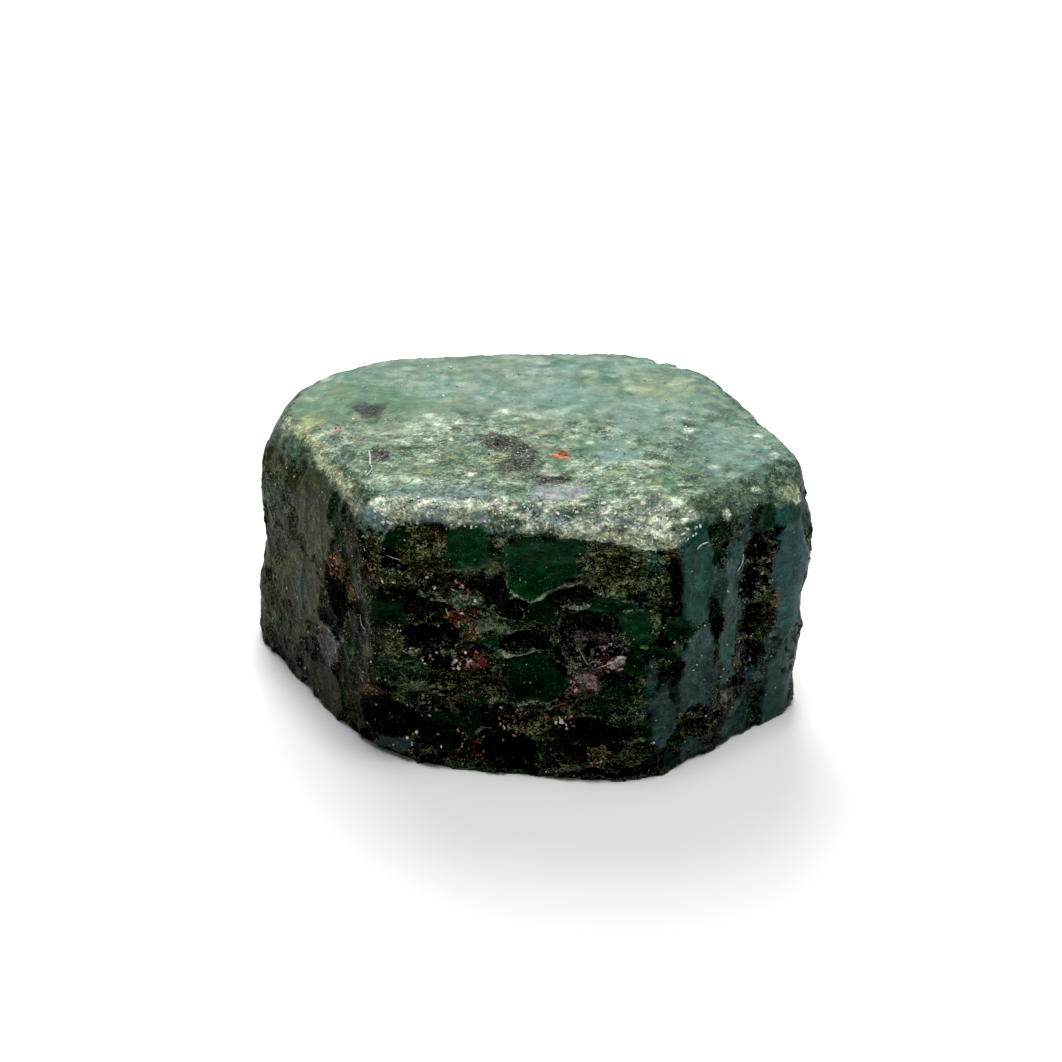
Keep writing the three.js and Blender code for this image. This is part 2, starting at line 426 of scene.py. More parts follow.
# Each finish: its colour, its roughness, how grainy it is and how many pale specks it holds
finishes = {finish["name"]: finish for finish in named(("name", "colour", "rough", "grain", "specks"), [
    ("green", (0.005, 0.035, 0.013), 0.32, 0.15, 0.25),
    ("deepGreen", (0.004, 0.020, 0.008), 0.32, 0.2, 0.3),
    ("darkGreen", (0.005, 0.017, 0.008), 0.36, 0.5, 0.35),
    ("olive", (0.016, 0.024, 0.009), 0.42, 0.6, 0.4),
    ("brown", (0.016, 0.012, 0.006), 0.42, 0.5, 0.35),
    # black: painted shade of the deep hollows, slits, pits and shadowed feet; loose scars take it too
    ("black", (0.0030, 0.0042, 0.0028), 0.45, 0.3, 0.3),
    ("mica", (0.015, 0.011, 0.017), 0.38, 1.0, 0.4),
    ("micaPink", (0.13, 0.075, 0.09), 0.42, 1.0, 0.4),
    ("rust", (0.05, 0.018, 0.010), 0.45, 0.9, 0.3),
    ("amber", (0.13, 0.07, 0.016), 0.45, 0.8, 0.2),
    ("teal", (0.010, 0.068, 0.054), 0.32, 0.25, 0.2),
    ("tealGrey", (0.027, 0.066, 0.063), 0.34, 0.3, 0.35),
    ("rimTeal", (0.024, 0.080, 0.078), 0.34, 0.15, 0.1),
    ("left", (0.036, 0.036, 0.012), 0.45, 0.38, 0.35),
    ("leftGreen", (0.038, 0.052, 0.025), 0.45, 0.38, 0.3),
    ("quietRim", (0.055, 0.085, 0.058), 0.45, 0.5, 0.3),
    ("frostGreen", (0.085, 0.18, 0.105), 0.45, 0.3, 0.15),
    ("frostOlive", (0.20, 0.24, 0.17), 0.45, 0.2, 0.1),
    ("greyPatch", (0.09, 0.095, 0.10), 0.5, 0.7, 0.3),
    ("paleGreen", (0.085, 0.135, 0.085), 0.45, 0.7, 0.2),
    ("rough", (0.014, 0.028, 0.013), 0.5, 1.0, 0.55),
    ("roughBrown", (0.024, 0.018, 0.008), 0.5, 1.0, 0.4),
    ("crest", (0.17, 0.20, 0.13), 0.45, 0.9, 0.5),
    ("band", (0.18, 0.26, 0.235), 0.5, 0.5, 0.6),
    ("bandYellow", (0.42, 0.46, 0.31), 0.5, 1.0, 1.0),
    ("bandDark", (0.045, 0.10, 0.080), 0.5, 0.7, 0.4),
    ("bandBlue", (0.175, 0.245, 0.25), 0.5, 0.3, 0.4),
    # sparkle: pale crust with its glints painted in, partly a painted highlight
    ("sparkle", (0.68, 0.74, 0.62), 0.45, 0.9, 1.0),
    ("frost", (0.20, 0.265, 0.215), 0.5, 0.75, 0.6),
    ("frostBack", (0.165, 0.275, 0.235), 0.42, 0.06, 0.05),
    ("frostDark", (0.055, 0.105, 0.070), 0.5, 0.8, 0.4),
    ("frostPale", (0.42, 0.48, 0.38), 0.5, 0.7, 0.9),
    ("frostYellow", (0.27, 0.30, 0.15), 0.5, 0.5, 0.5),
    ("topMica", (0.028, 0.020, 0.030), 0.45, 1.0, 0.5),
    ("lavender", (0.27, 0.28, 0.31), 0.45, 0.3, 0.2),
    ("red", (0.10, 0.014, 0.02), 0.4, 1.0, 0.3),
    ("orange", (0.34, 0.13, 0.07), 0.45, 0.5, 0.2),
    ("pink", (0.48, 0.27, 0.30), 0.45, 0.3, 0.2),
    ("under", (0.03, 0.05, 0.035), 0.55, 0.8, 0.3),
])}


def frameAt(normal, turn=0.0):
    # the across, up and outward directions of a place on the stone
    outward = Vector(normal).normalized()
    across = Vector((0, 0, 1)).cross(outward)
    if across.length < 0.25:
        across = Vector((1, 0, 0))
    across = Matrix.Rotation(math.radians(turn), 3, outward) @ across.normalized()
    up = outward.cross(across).normalized()
    return np.array(across), np.array(up), np.array(outward)


def scarAt(centre, normal, size, depth, finish, turn=0.0, tilt=(0.0, 0.0)):
    across, up, outward = frameAt(normal, turn)
    return {
        "centre": np.array(centre), "across": across, "up": up, "outward": outward,
        "size": size, "depth": depth, "finish": finish, "tilt": tilt,
    }


def markedScars(marks):
    made = []
    for mark in marks:
        hit = onStone(mark["at"])
        if hit:
            made.append(scarAt(*hit, mark["size"], mark["depth"], mark["finish"], mark.get("turn", 0)))
        else:
            print("off the stone:", mark["name"])
    return made


def azimuthOf(normals):
    return np.degrees(np.arctan2(normals[..., 1], normals[..., 0]))


def stretchValue(azimuth, key):
    return np.interp(azimuth, [s["azimuth"] for s in stretches], [s[key] for s in stretches])


def nearestStretch(azimuth):
    return min(stretches, key=lambda s: abs(s["azimuth"] - azimuth))


def crowded(scar, others, spacing, depthReach=4):
    # whether a scar would lie over one that is already there
    if not others:
        return False
    offset = scar["centre"] - np.array([other["centre"] for other in others])
    size = np.array(scar["size"]) + np.array([other["size"] for other in others])
    nearness = np.zeros(len(others))
    for key, reach in (("across", size[:, 0]), ("up", size[:, 1]), ("outward", depthReach)):
        nearness += (np.einsum("ij,ij->i", offset, [other[key] for other in others]) / reach) ** 2
    return bool((nearness < spacing**2).any())


def scatteredScars(settings, weight, taken=(), waver=12):
    # random scars on the points that have weight, kept off the ones that are already there
    rng = random.Random(settings["seed"])
    candidates = np.flatnonzero(weight > 0.5)
    made = []
    for _ in range(settings["count"]):
        index = candidates[rng.randrange(len(candidates))]
        azimuth = float(azimuthOf(baseNormals[index])) + rng.uniform(-waver, waver)
        width = rng.uniform(*settings["width"])
        height = width * rng.uniform(*settings.get("flatness", (0.7, 1.2)))
        if rng.random() < stretchValue(azimuth, "upright"):
            width, height = height, width
        finish = rng.choice(nearestStretch(azimuth)["finishes"])
        if "curve" in settings:
            depth = settings["curve"] * max(width, height) ** 2
        else:
            depth = rng.uniform(*settings["depth"])
        turn = rng.uniform(-1, 1) * settings["turn"]
        tilt = (rng.uniform(-1, 1) * settings["tilt"], rng.uniform(-1, 1) * settings["tilt"])
        scar = scarAt(basePoints[index], baseNormals[index], (width, height), depth, finish, turn, tilt)
        if "spacing" not in settings or not crowded(scar, [*taken, *made], settings["spacing"]):
            made.append(scar)
    return made


# The shape of the scars: a bowl that is deeper near its top. flat: how flat its floor is.
scarShape = {"squareness": 2.15, "topHeavy": 0.25, "flat": 0.45, "floor": 0.65, "reach": 2.2, "margin": 1.3}
markPriority = 3  # how far a marked scar's claim goes before one that fills in


def carve(points, scars):
    # the scar with the higher claim wins, and where two meet they leave a crest
    claim, second, depth = np.zeros((3, len(points)))
    owner = np.full(len(points), -1)
    slab = sortedSlab(points)
    power, flat = scarShape["squareness"], scarShape["flat"]
    for index, scar in enumerate(scars):
        near = within(points, slab, scar["centre"], max(*scar["size"]) * scarShape["margin"])
        offset = points[near] - scar["centre"]
        across = offset @ scar["across"] / scar["size"][0]
        up = offset @ scar["up"] / scar["size"][1]
        out = offset @ scar["outward"] / scarShape["reach"]
        here = scar["depth"] * (1 - (np.abs(across) ** power + np.abs(up) ** power + out**2))
        slope = scar["tilt"][0] * across + (scar["tilt"][1] + scarShape["topHeavy"]) * up
        bowl = (1 - flat) * here + scar["depth"] * (flat * scarShape["floor"] + slope)
        wins = here > claim[near]
        second[near] = np.where(wins, claim[near], np.maximum(second[near], here))
        owner[near] = np.where(wins, index, owner[near])
        depth[near] = np.where(wins, np.maximum(bowl, 0), depth[near])
        claim[near] = np.maximum(claim[near], here)
    return depth, claim, second, owner


def closeness(points, places, width):
    # 1 on a line through the places, falling to 0 at its width
    slab = sortedSlab(points)
    close = np.zeros(len(points))
    for start, end in zip(places, places[1:]):
        length = np.linalg.norm(end - start)
        near = within(points, slab, (start + end) / 2, length / 2 + width)
        along = np.clip((points[near] - start) @ (end - start) / length**2, 0, 1)
        away = np.linalg.norm(points[near] - start - along[:, None] * (end - start), axis=1)
        close[near] = np.maximum(close[near], 1 - np.minimum(away / width, 1))
    return close


def placesOf(line):
    return [hit[0] for hit in map(onStone, line["through"]) if hit]


# Points shifted a little, so that the outlines of the scars wander
warped = basePoints + warpOf(2.3, amount=0.5) + warpOf(0.8, amount=0.18, seed=7.3)
chipWarp = basePoints + warpOf(0.7, amount=0.16, seed=3.1)
lineWarp = basePoints + warpOf(0.9, amount=0.12, seed=5.0)
markWarp = 0.55 * warped + 0.45 * basePoints

marked = markedScars(scarMarks)
filling = scatteredScars(looseScars, sideWeight, marked)
sideScars = marked + filling
markDepth, markClaim, markSecond, markOwner = carve(markWarp, marked)
markClaim *= markPriority
markSecond *= markPriority
fillDepth, fillClaim, fillSecond, fillOwner = carve(warped, filling)
fromMark = markClaim > fillClaim
sideDepth = np.where(fromMark, markDepth, fillDepth)
sideClaim = np.maximum(markClaim, fillClaim)
sideSecond = np.maximum(np.minimum(markClaim, fillClaim), np.where(fromMark, markSecond, fillSecond))
sideOwner = np.where(fromMark, markOwner, np.where(fillOwner < 0, -1, fillOwner + len(marked)))
smallDepth = carve(chipWarp, scatteredScars(smallScars, sideWeight))[0]
print("scars on the sides:", len(marked), "marked and", len(filling), "filled in")

azimuths = azimuthOf(baseNormals)
deep = stretchValue(azimuths, "deep")
bandShare = spread(stretchValue(azimuths, "band"), 4)
onRim = np.clip(rimWeight * 2, 0, 1)
chipDepth = carve(chipWarp, scatteredScars(edgeChips, onRim))[0]
dentDepth = carve(chipWarp, scatteredScars(topDents, topWeight))[0]
breakDepth = carve(warped, scatteredScars(underScars, underWeight))[0]

# how pale the ridges are painted, partly as a painted highlight of their lit lips
linePale = np.zeros(len(basePoints))
lineHeight = np.zeros(len(basePoints))
for line in ridgeLines:
    close = closeness(lineWarp, placesOf(line), line["width"])
    linePale = np.maximum(linePale, close * (0.35 + 0.65 * line["strength"]))
    lineHeight = np.maximum(lineHeight, smoothStep(close, 0, 1) * line["height"])
print("ridges:", len(ridgeLines))


def pastStep(step):
    # how far each point of the top is past the step's line, from 0 to 1
    start, end = onStone(step["from"])[0], onStone(step["to"])[0]
    along = (end - start) / np.linalg.norm(end - start)
    past = (chipWarp[:, 1] - start[1]) * along[0] - (chipWarp[:, 0] - start[0]) * along[1]
    return smoothStep(past, 0, step["edge"]) * (1 - smoothStep(past, *step["fade"])) * topWeight


stepWeight = pastStep(topStep)

relief = {
    "outset": 0.28,  # the scars are cut from a skin this far outside the solid
    "topOutset": 0.1,  # and the top's dents from one this far
    "quiet": 0.6,  # how much less the skin stands out where the scars are shallow
    "smallInMarks": 0.25,  # how deep the small scars are inside the marked ones
    "rimDeep": 0.55,  # how deep the side scars are on the rim
    "chipsOnQuiet": 0.3,  # how deep the chips are where the edge isn't worn
    "swell": 0.12,
    "grain": 0.045,
    "streaks": 0.025,
    "hackle": 0.24,
    "crumple": 0.09,
}

inMica = spread(np.array([scar["finish"] == "mica" for scar in sideScars] + [False])[sideOwner], 1)
nearFront = 1 - smoothStep(basePoints[:, 1], -3, 6)
blotches = fieldOf(1.8, octaves=4, stretch=(1.5, 1, 1), seed=12.0)
topBlotches = fieldOf(2.2, stretch=(1.3, 1, 1), seed=33.0)
smallBlotches = fieldOf(0.8, octaves=4, stretch=(1.3, 1.3, 1), seed=15.0)
tinyBlotches = fieldOf(0.45, stretch=(2, 2, 1), seed=21.0)
bandStreaks = fieldOf(0.8, octaves=4, stretch=(2.6, 1, 1), seed=51.0)
roughPart = sideWeight * smoothStep(blotches + 0.6 * smallBlotches, 0.1, 0.45) * ~fromMark


def sinkOf(relief):
    # how far each point goes in
    scarWeight = np.clip(sideWeight + relief["rimDeep"] * rimWeight, 0, 1) * deep
    chipWeight = onRim * (relief["chipsOnQuiet"] + (1 - relief["chipsOnQuiet"]) * bandShare)
    skin = relief["outset"] * (1 - underWeight) * (1 - relief["quiet"] * (1 - deep))
    skin -= (relief["outset"] - relief["topOutset"]) * topWeight
    small = smallDepth * (1 - (1 - relief["smallInMarks"]) * fromMark)
    sink = (sideDepth + small) * scarWeight - skin - lineHeight * (sideWeight + rimWeight)
    sink += chipDepth * chipWeight + dentDepth * topWeight + breakDepth * underWeight
    sink += topStep["drop"] * stepWeight
    sink += relief["swell"] * (0.5 + 0.5 * fieldOf(4.0, octaves=2)) * (1 - underWeight)
    ground = (topWeight + rimWeight) * (0.3 + 0.7 * nearFront)
    sink += relief["grain"] * fieldOf(0.55, seed=4.0) * ground
    sink += relief["streaks"] * fieldOf(0.5, octaves=2, stretch=(5, 1, 1), seed=9.0) * topWeight * nearFront
    sink += relief["hackle"] * fieldOf(0.75, seed=2.0) * inMica * sideWeight
    return sink + relief["crumple"] * tinyBlotches * roughPart


sink = sinkOf(relief)
points = basePoints - baseNormals * sink[:, None]
points[points[:, 2] < fineSurface["settled"], 2] = 0
writePoints(crystal.data, points)
crystal.data.shade_smooth()
print("relief carved, from", round(float(sink.min()), 2), "to", round(float(sink.max()), 2), "mm")

# Where a scar's lower lip looks up and where its top hangs over, which steer the painted highlight and the
# painted shade below, and where the surface bulges
fineNormals = readVectors(crystal.data, "normal")
bulge = np.einsum("ij,ij->i", points - spread(points, 3), fineNormals)
lip = smoothStep(fineNormals[:, 2] - baseNormals[:, 2], 0.12, 0.5) * sideWeight
overhangShade = smoothStep(baseNormals[:, 2] - fineNormals[:, 2], 0.15, 0.5) * sideWeight
ridge = smoothStep(spread(bulge, 1), 0.015, 0.06) * (sideWeight + rimWeight)

# Tinted patches seen on the photographed faces. size: half the width and half the height.
patches = named(("name", "at", "size", "finish", "strength"), [
    ("dark line before the middle", (450, 462), (1.5, 0.4), "frostDark", 0.8),
    ("dark line left of the middle", (410, 447), (2.2, 0.5), "frostDark", 0.7),
    ("dark patch past the step", (695, 474), (1.0, 0.8), "topMica", 0.5),
    ("yellow patch at the back left", (341, 391), (1.0, 1.4), "frostYellow", 0.8),
    ("yellow patch at the left corner", (311, 420), (1.1, 1.8), "frostYellow", 0.9),
    ("green area on the left", (352, 398), (4.2, 4.0), "frostGreen", 0.6),
    ("green area right of it", (398, 404), (2.6, 2.4), "frostGreen", 0.6),
    ("green area in the middle", (420, 455), (4.0, 2.2), "frostDark", 0.2),
    ("green streak", (455, 475), (4.5, 0.7), "frostDark", 0.35),
    ("green streak before it", (490, 492), (3.2, 0.5), "frostDark", 0.4),
    ("pale streak on the left", (400, 478), (3.0, 0.6), "frostPale", 0.4),
    ("pale streak at the step", (640, 462), (2.0, 0.6), "frostPale", 0.5),
    ("pale area on the left", (440, 425), (2.6, 1.4), "frostPale", 0.5),
    ("pale streak in the middle", (540, 412), (2.2, 0.9), "frostPale", 0.6),
    ("lavender patch", (560, 492), (1.9, 0.9), "lavender", 0.8),
    ("green area right of the fleck", (610, 448), (2.4, 1.8), "frostBack", 0.8),
    ("smooth teal area", (560, 395), (3.2, 3.0), "frostBack", 0.5),
    ("smooth area right of it", (640, 415), (2.6, 3.4), "frostBack", 0.55),
    ("pale area on the right", (725, 445), (4.0, 4.5), "frostBack", 0.6),
    ("olive area at the back", (660, 385), (3.0, 2.4), "frostYellow", 0.4),
    ("dark area past the step", (690, 455), (1.3, 3.4), "frostDark", 0.3),
    ("dark patch on the left", (370, 409), (1.6, 1.3), "topMica", 0.8),
    ("mica patch", (500, 441), (2.0, 1.4), "topMica", 0.85),
    ("end of the mica patch", (528, 449), (0.9, 0.7), "topMica", 0.7),
    ("mica patch below it", (515, 462), (2.2, 1.5), "topMica", 0.75),
    ("mica spot", (550, 478), (1.6, 0.7), "topMica", 0.9),
    ("olive gap in the mica", (492, 458), (0.9, 0.8), "frostYellow", 0.5),
    ("small dark patch", (378, 452), (0.8, 0.9), "topMica", 0.8),
    ("smooth strip before the edge", (452, 492), (4.4, 0.9), "bandBlue", 0.55),
    ("blue grey corner", (371, 520), (1.3, 1.1), "bandBlue", 1.0),
    ("bright left corner", (382, 504), (1.2, 0.6), "sparkle", 0.8),
    ("bright left edge", (412, 508), (1.8, 0.5), "sparkle", 0.6),
    ("bright right corner", (655, 527), (1.2, 1.0), "sparkle", 0.9),
    ("bright cluster in the edge", (588, 528), (1.0, 0.7), "sparkle", 0.7),
    ("slate patch of the edge", (432, 517), (1.4, 0.5), "bandBlue", 0.85),
    ("slate pebble in the edge", (478, 519), (0.7, 0.5), "bandBlue", 0.9),
    ("slate patch right of it", (560, 524), (1.4, 0.6), "bandBlue", 0.8),
    ("slate patch near the corner", (618, 522), (1.2, 0.5), "bandBlue", 0.7),
    ("dark speckled part of the edge", (505, 524), (1.5, 0.9), "bandDark", 0.7),
    ("dark gap in the edge", (537, 526), (0.7, 0.8), "bandDark", 0.8),
    ("dark part of the edge", (575, 513), (2.0, 0.6), "bandDark", 0.6),
    ("teal right of the corner", (695, 535), (1.5, 1.1), "teal", 0.9),
    ("teal edge over the panels", (725, 520), (1.7, 0.9), "darkGreen", 0.8),
    ("pale rim of the right corner", (790, 495), (1.2, 0.7), "bandYellow", 0.7),
    ("speckled left column", (368, 562), (1.0, 2.6), "roughBrown", 0.9),
    ("speckled ledge on the left", (412, 552), (1.2, 0.8), "roughBrown", 0.8),
    ("speckled ledge", (468, 573), (1.6, 0.5), "paleGreen", 0.5),
    ("speckles right of it", (492, 573), (0.9, 0.7), "crest", 0.5),
    ("grey grains", (465, 600), (1.3, 0.6), "paleGreen", 0.6),
    ("red brown ledge", (462, 618), (1.3, 0.6), "rust", 0.9),
    ("green ledge left of the eye", (494, 630), (1.3, 0.8), "paleGreen", 0.8),
    ("orange stain", (471, 636), (0.6, 0.5), "amber", 0.8),
    ("rough rim of the striped facet", (586, 566), (0.6, 0.8), "roughBrown", 0.8),
    ("pale corner of the striped facet", (588, 583), (0.8, 0.4), "crest", 0.8),
    ("grey mica in the hollow", (589, 640), (1.3, 0.4), "micaPink", 0.8),
    ("pink mica", (585, 682), (1.1, 0.9), "micaPink", 0.8),
    ("speckled strip", (520, 714), (2.2, 0.5), "roughBrown", 0.8),
    ("speckled lower left", (440, 704), (2.0, 0.7), "roughBrown", 0.8),
    ("yellow green rim", (412, 688), (1.3, 0.5), "crest", 0.5),
    ("pale patch in the slot", (430, 598), (1.0, 0.25), "crest", 0.5),
    ("speckled edge", (657, 600), (0.5, 2.6), "rough", 0.9),
    ("speckled lower edge", (640, 716), (0.5, 2.2), "rough", 0.9),
    ("teal at the edge", (655, 562), (0.6, 1.2), "teal", 0.6),
    ("teal strip of the edge", (652, 690), (0.5, 2.6), "tealGrey", 0.8),
    ("pale foot", (577, 773), (2.0, 0.35), "paleGreen", 0.7),
    ("brown break of the foot", (604, 760), (1.2, 0.7), "roughBrown", 0.9),
    ("rusty foot on the left", (371, 690), (1.1, 0.6), "rust", 0.8),
    ("yellow cluster over the panels", (727, 515), (0.3, 0.45), "sparkle", 0.8),
    ("yellow cluster right of it", (755, 489), (0.45, 0.3), "sparkle", 0.6),
    ("grey green streaks", (300, 584), (0.9, 1.9), "tealGrey", 0.6),
    ("green under the grey patch", (348, 652), (0.7, 0.9), "green", 0.7),
    ("upper chain of pits", (752, 588), (1.3, 4.6), "mica", 0.35),
    ("lower chain of pits", (740, 668), (1.3, 3.8), "mica", 0.35),
    ("foot of the chain", (712, 722), (1.9, 1.3), "mica", 0.6),
    ("teal left of the pits", (733, 560), (0.7, 1.6), "tealGrey", 0.8),
    ("teal between the pits", (736, 605), (0.8, 1.2), "tealGrey", 0.7),
    ("teal right of the lower pits", (771, 645), (0.7, 2.2), "tealGrey", 0.8),
    ("teal under the lower pits", (722, 672), (0.7, 1.4), "tealGrey", 0.7),
    ("black top pit", (760, 551), (1.1, 1.0), "black", 0.95),
    ("black second pit", (751, 583), (1.2, 1.2), "black", 0.95),
    ("black third pit", (757, 622), (1.1, 1.2), "black", 0.9),
    ("black slot beside the grey bump", (756, 654), (0.5, 1.3), "black", 0.9),
    ("black fourth pit", (741, 675), (0.9, 0.8), "black", 0.9),
    ("grey bump in the pits", (744, 654), (0.6, 0.6), "greyPatch", 0.85),
    ("lower grey bump", (728, 696), (0.7, 0.6), "greyPatch", 0.85),
    ("pale rim of the chain", (774, 598), (0.45, 1.2), "amber", 0.6),
    ("lower rim of the chain", (758, 685), (0.4, 2.2), "paleGreen", 0.6),
    ("red pocket", (475, 661), (0.9, 0.5), "red", 0.9),
    ("red grains above it", (462, 616), (0.8, 0.5), "red", 0.6),
    ("red in the mica hollow", (606, 664), (0.6, 0.45), "red", 0.9),
    ("pale end of the hollow", (616, 664), (0.4, 0.5), "sparkle", 0.8),
    ("orange fleck of the top", (561, 454), (0.75, 0.5), "orange", 1.0),
    ("pink fleck of the top", (338, 428), (0.5, 0.3), "pink", 1.0),
    ("green glitter of the top", (436, 468), (0.7, 0.3), "frostGreen", 1.0),
    ("green glow of the top", (592, 447), (1.2, 0.9), "frostGreen", 0.7),
    ("purple specks on the left", (361, 676), (0.7, 0.6), "micaPink", 0.5),
    ("amber rim of the pit", (350, 593), (0.4, 0.6), "amber", 0.8),
    ("amber foot of the pit", (321, 626), (0.7, 0.35), "amber", 0.7),
    ("teal left rim", (272, 505), (1.2, 2.6), "teal", 0.4),
    ("brown at the lower left", (330, 672), (2.0, 1.4), "brown", 0.6),
])

# Worn edges, painted along their length. width: half of it.
paintedEdges = named(("name", "width", "finish", "strength", "through"), [
    ("edge above the left face", 0.55, "bandYellow", 0.7, [
        (357, 506), (338, 480), (327, 466), (320, 449), (307, 435), (286, 424), (275, 418),
    ]),
    ("edge over the panels", 0.35, "paleGreen", 0.7, [
        (674, 514), (700, 506), (730, 497), (757, 487), (785, 480),
    ]),
])

# Soft round spots, a grain's width and more, that mottle the top and the worn edges
spotSeed = 71
spotKinds = named(("on", "count", "size", "finish", "strength"), [
    ("top", 90, (0.5, 1.6), "frostGreen", (0.2, 0.7)),
    ("top", 70, (0.5, 1.5), "frostOlive", (0.3, 0.8)),
    ("top", 60, (0.4, 1.2), "frostDark", (0.2, 0.6)),
    ("top", 130, (0.2, 0.55), "frostPale", (0.3, 0.9)),
    ("top", 70, (0.2, 0.45), "frostYellow", (0.4, 0.9)),
    ("top", 120, (0.2, 0.6), "frostDark", (0.3, 0.8)),
    ("top", 40, (0.18, 0.35), "sparkle", (0.4, 1.0)),
    ("rim", 150, (0.2, 0.7), "bandDark", (0.5, 1.0)),
    ("rim", 150, (0.15, 0.45), "sparkle", (0.4, 1.0)),
    ("rim", 60, (0.2, 0.5), "bandYellow", (0.4, 1.0)),
])


def patchWeight(patch):
    hit = onStone(patch["at"])
    across, up, outward = frameAt(hit[1])
    offset = chipWarp - hit[0]
    far = (offset @ across / patch["size"][0]) ** 2 + (offset @ up / patch["size"][1]) ** 2
    far += (offset @ outward / 2) ** 2
    ragged = np.sqrt(far) + 0.45 * tinyBlotches + 0.35 * smallBlotches
    return patch["strength"] * (1 - smoothStep(ragged, 0.5, 1.2))


def edgePaint(edge):
    close = closeness(chipWarp, placesOf(edge), edge["width"] * 1.6)
    ragged = 1 - close + 0.5 * tinyBlotches + 0.4 * smallBlotches
    return edge["strength"] * (1 - smoothStep(ragged, 0.25, 0.9)) * smoothStep(close, 0, 0.3)


def spotTints(kinds):
    # towards the back the spots are larger and fainter
    rng = random.Random(spotSeed)
    places = {
        "top": np.flatnonzero(topWeight > 0.6),
        "rim": np.flatnonzero((rimWeight > 0.4) & (bandShare > 0.45)),
    }
    slab = sortedSlab(chipWarp)
    made = []
    for kind in kinds:
        weight = np.zeros(len(chipWarp))
        for _ in range(kind["count"]):
            index = places[kind["on"]][rng.randrange(len(places[kind["on"]]))]
            centre = chipWarp[index]
            size = rng.uniform(*kind["size"]) * (1.6 - 0.6 * nearFront[index])
            strength = rng.uniform(*kind["strength"]) * (0.45 + 0.55 * nearFront[index])
            near = within(chipWarp, slab, centre, size * 2)
            offset = (chipWarp[near] - centre) / np.array([1.6, 1, 1])
            far = np.linalg.norm(offset, axis=1) / size
            weight[near] = np.maximum(weight[near], strength * (1 - smoothStep(far, 0.3, 1.2)))
        made.append((kind["finish"], weight))
    return made


# The layers of the paint from the bottom up: each a finish and how strong it is at every point
# painted shade: the sides are painted towards black where a scar's top hangs over
sideTints = [("rough", 0.85 * roughPart), ("black", 0.35 * overhangShade)]
topTints = [
    ("frostBack", smoothStep(basePoints[:, 1] + 3 * blotches, -2, 5)),
    ("frostGreen", 0.6 * smoothStep(topBlotches, 0.1, 0.5)),
    ("frostOlive", 0.6 * smoothStep(-topBlotches, 0.15, 0.5)),
    ("frostDark", (0.2 + 0.35 * nearFront) * smoothStep(smallBlotches, 0.05, 0.5)),
    ("frostPale", 0.45 * smoothStep(-smallBlotches, 0.15, 0.5)),
    ("frostDark", 0.35 * stepWeight),
]
lowEdge = (1 - smoothStep(rise, 0.42, 0.62)) * smoothStep(smallBlotches, -0.15, 0.25)
bandTints = [
    ("bandBlue", 0.8 * smoothStep(-blotches, 0.0, 0.35)),
    ("bandYellow", 0.5 * smoothStep(smallBlotches - 0.5 * blotches, 0.25, 0.5)),
    ("bandDark", 0.8 * smoothStep(bandStreaks, 0.1, 0.45)),
    ("sparkle", 0.6 * smoothStep(-bandStreaks, 0.35, 0.65)),
    ("bandDark", 0.6 * lowEdge),
    ("frost", 0.85 * smoothStep(rise + 0.12 * smallBlotches, 0.66, 0.88)),
]
quietTints = [
    ("frostDark", smoothStep(rise + 0.1 * blotches, 0.72, 0.9)),
    ("bandDark", 0.6 * smoothStep(smallBlotches, 0.1, 0.5)),
]
bandEdge = rise + 0.24 * smallBlotches + 0.18 * tinyBlotches - 0.5 * np.clip(markDepth, 0, 0.5)
bandWeight = smoothStep(bandEdge, 0.40, 0.49)
tints = spotTints(spotKinds)
tints += [(edge["finish"], edgePaint(edge)) for edge in paintedEdges]
tints += [(patch["finish"], patchWeight(patch)) for patch in patches]
fillTone = {"seed": 29, "darkest": 0.25, "brightest": 1.75}
rng = random.Random(fillTone["seed"])
tones = [rng.uniform(fillTone["darkest"], fillTone["brightest"]) for _ in filling]
brightness = np.array([1.0] * len(marked) + tones + [1.0])[sideOwner]


def paintedLayer(key):
    # one layer of the paint, from the finishes' values for it
    wanted = {name: np.atleast_1d(finish[key]).astype(float) for name, finish in finishes.items()}

    def layered(values, tints):
        for finish, weight in tints:
            values = mixed(values, wanted[finish], weight)
        return values

    ofScars = [wanted[scar["finish"]] for scar in sideScars] + [wanted["rough"]]
    values = layered(np.array(ofScars)[sideOwner], sideTints)
    if key == "colour":
        values = values * brightness[:, None]
    band = layered(wanted["band"][None, :], bandTints)
    quiet = layered(wanted["quietRim"][None, :], quietTints)
    top = layered(wanted["frost"][None, :], topTints)
    values = mixed(values, wanted["under"], underWeight)
    values = mixed(values, mixed(quiet, band, bandShare), bandWeight)
    values = layered(mixed(values, top, topWeight), tints)
    if key in ("grain", "specks"):
        values = values * (1 - 0.85 * topWeight * (1 - nearFront))[:, None]
    return values


def writeColours(mesh, name, colours):
    layer = mesh.attributes.new(name, "FLOAT_COLOR", "POINT")
    padded = np.ones((len(mesh.vertices), 4), dtype=np.float32)
    padded[:, :3] = np.clip(colours, 0, 1)
    layer.data.foreach_set("color", padded.ravel())


crestNear = 1 - np.clip((sideClaim - sideSecond) / 0.4, 0, 1)
# the crests are painted paler where they face up, a painted highlight
crestNear *= smoothStep(sideSecond, 0.0, 0.05) * sideWeight * (0.3 + 0.7 * deep) * (0.7 + 0.3 * lip)
upright = stretchValue(azimuths, "upright") * sideWeight
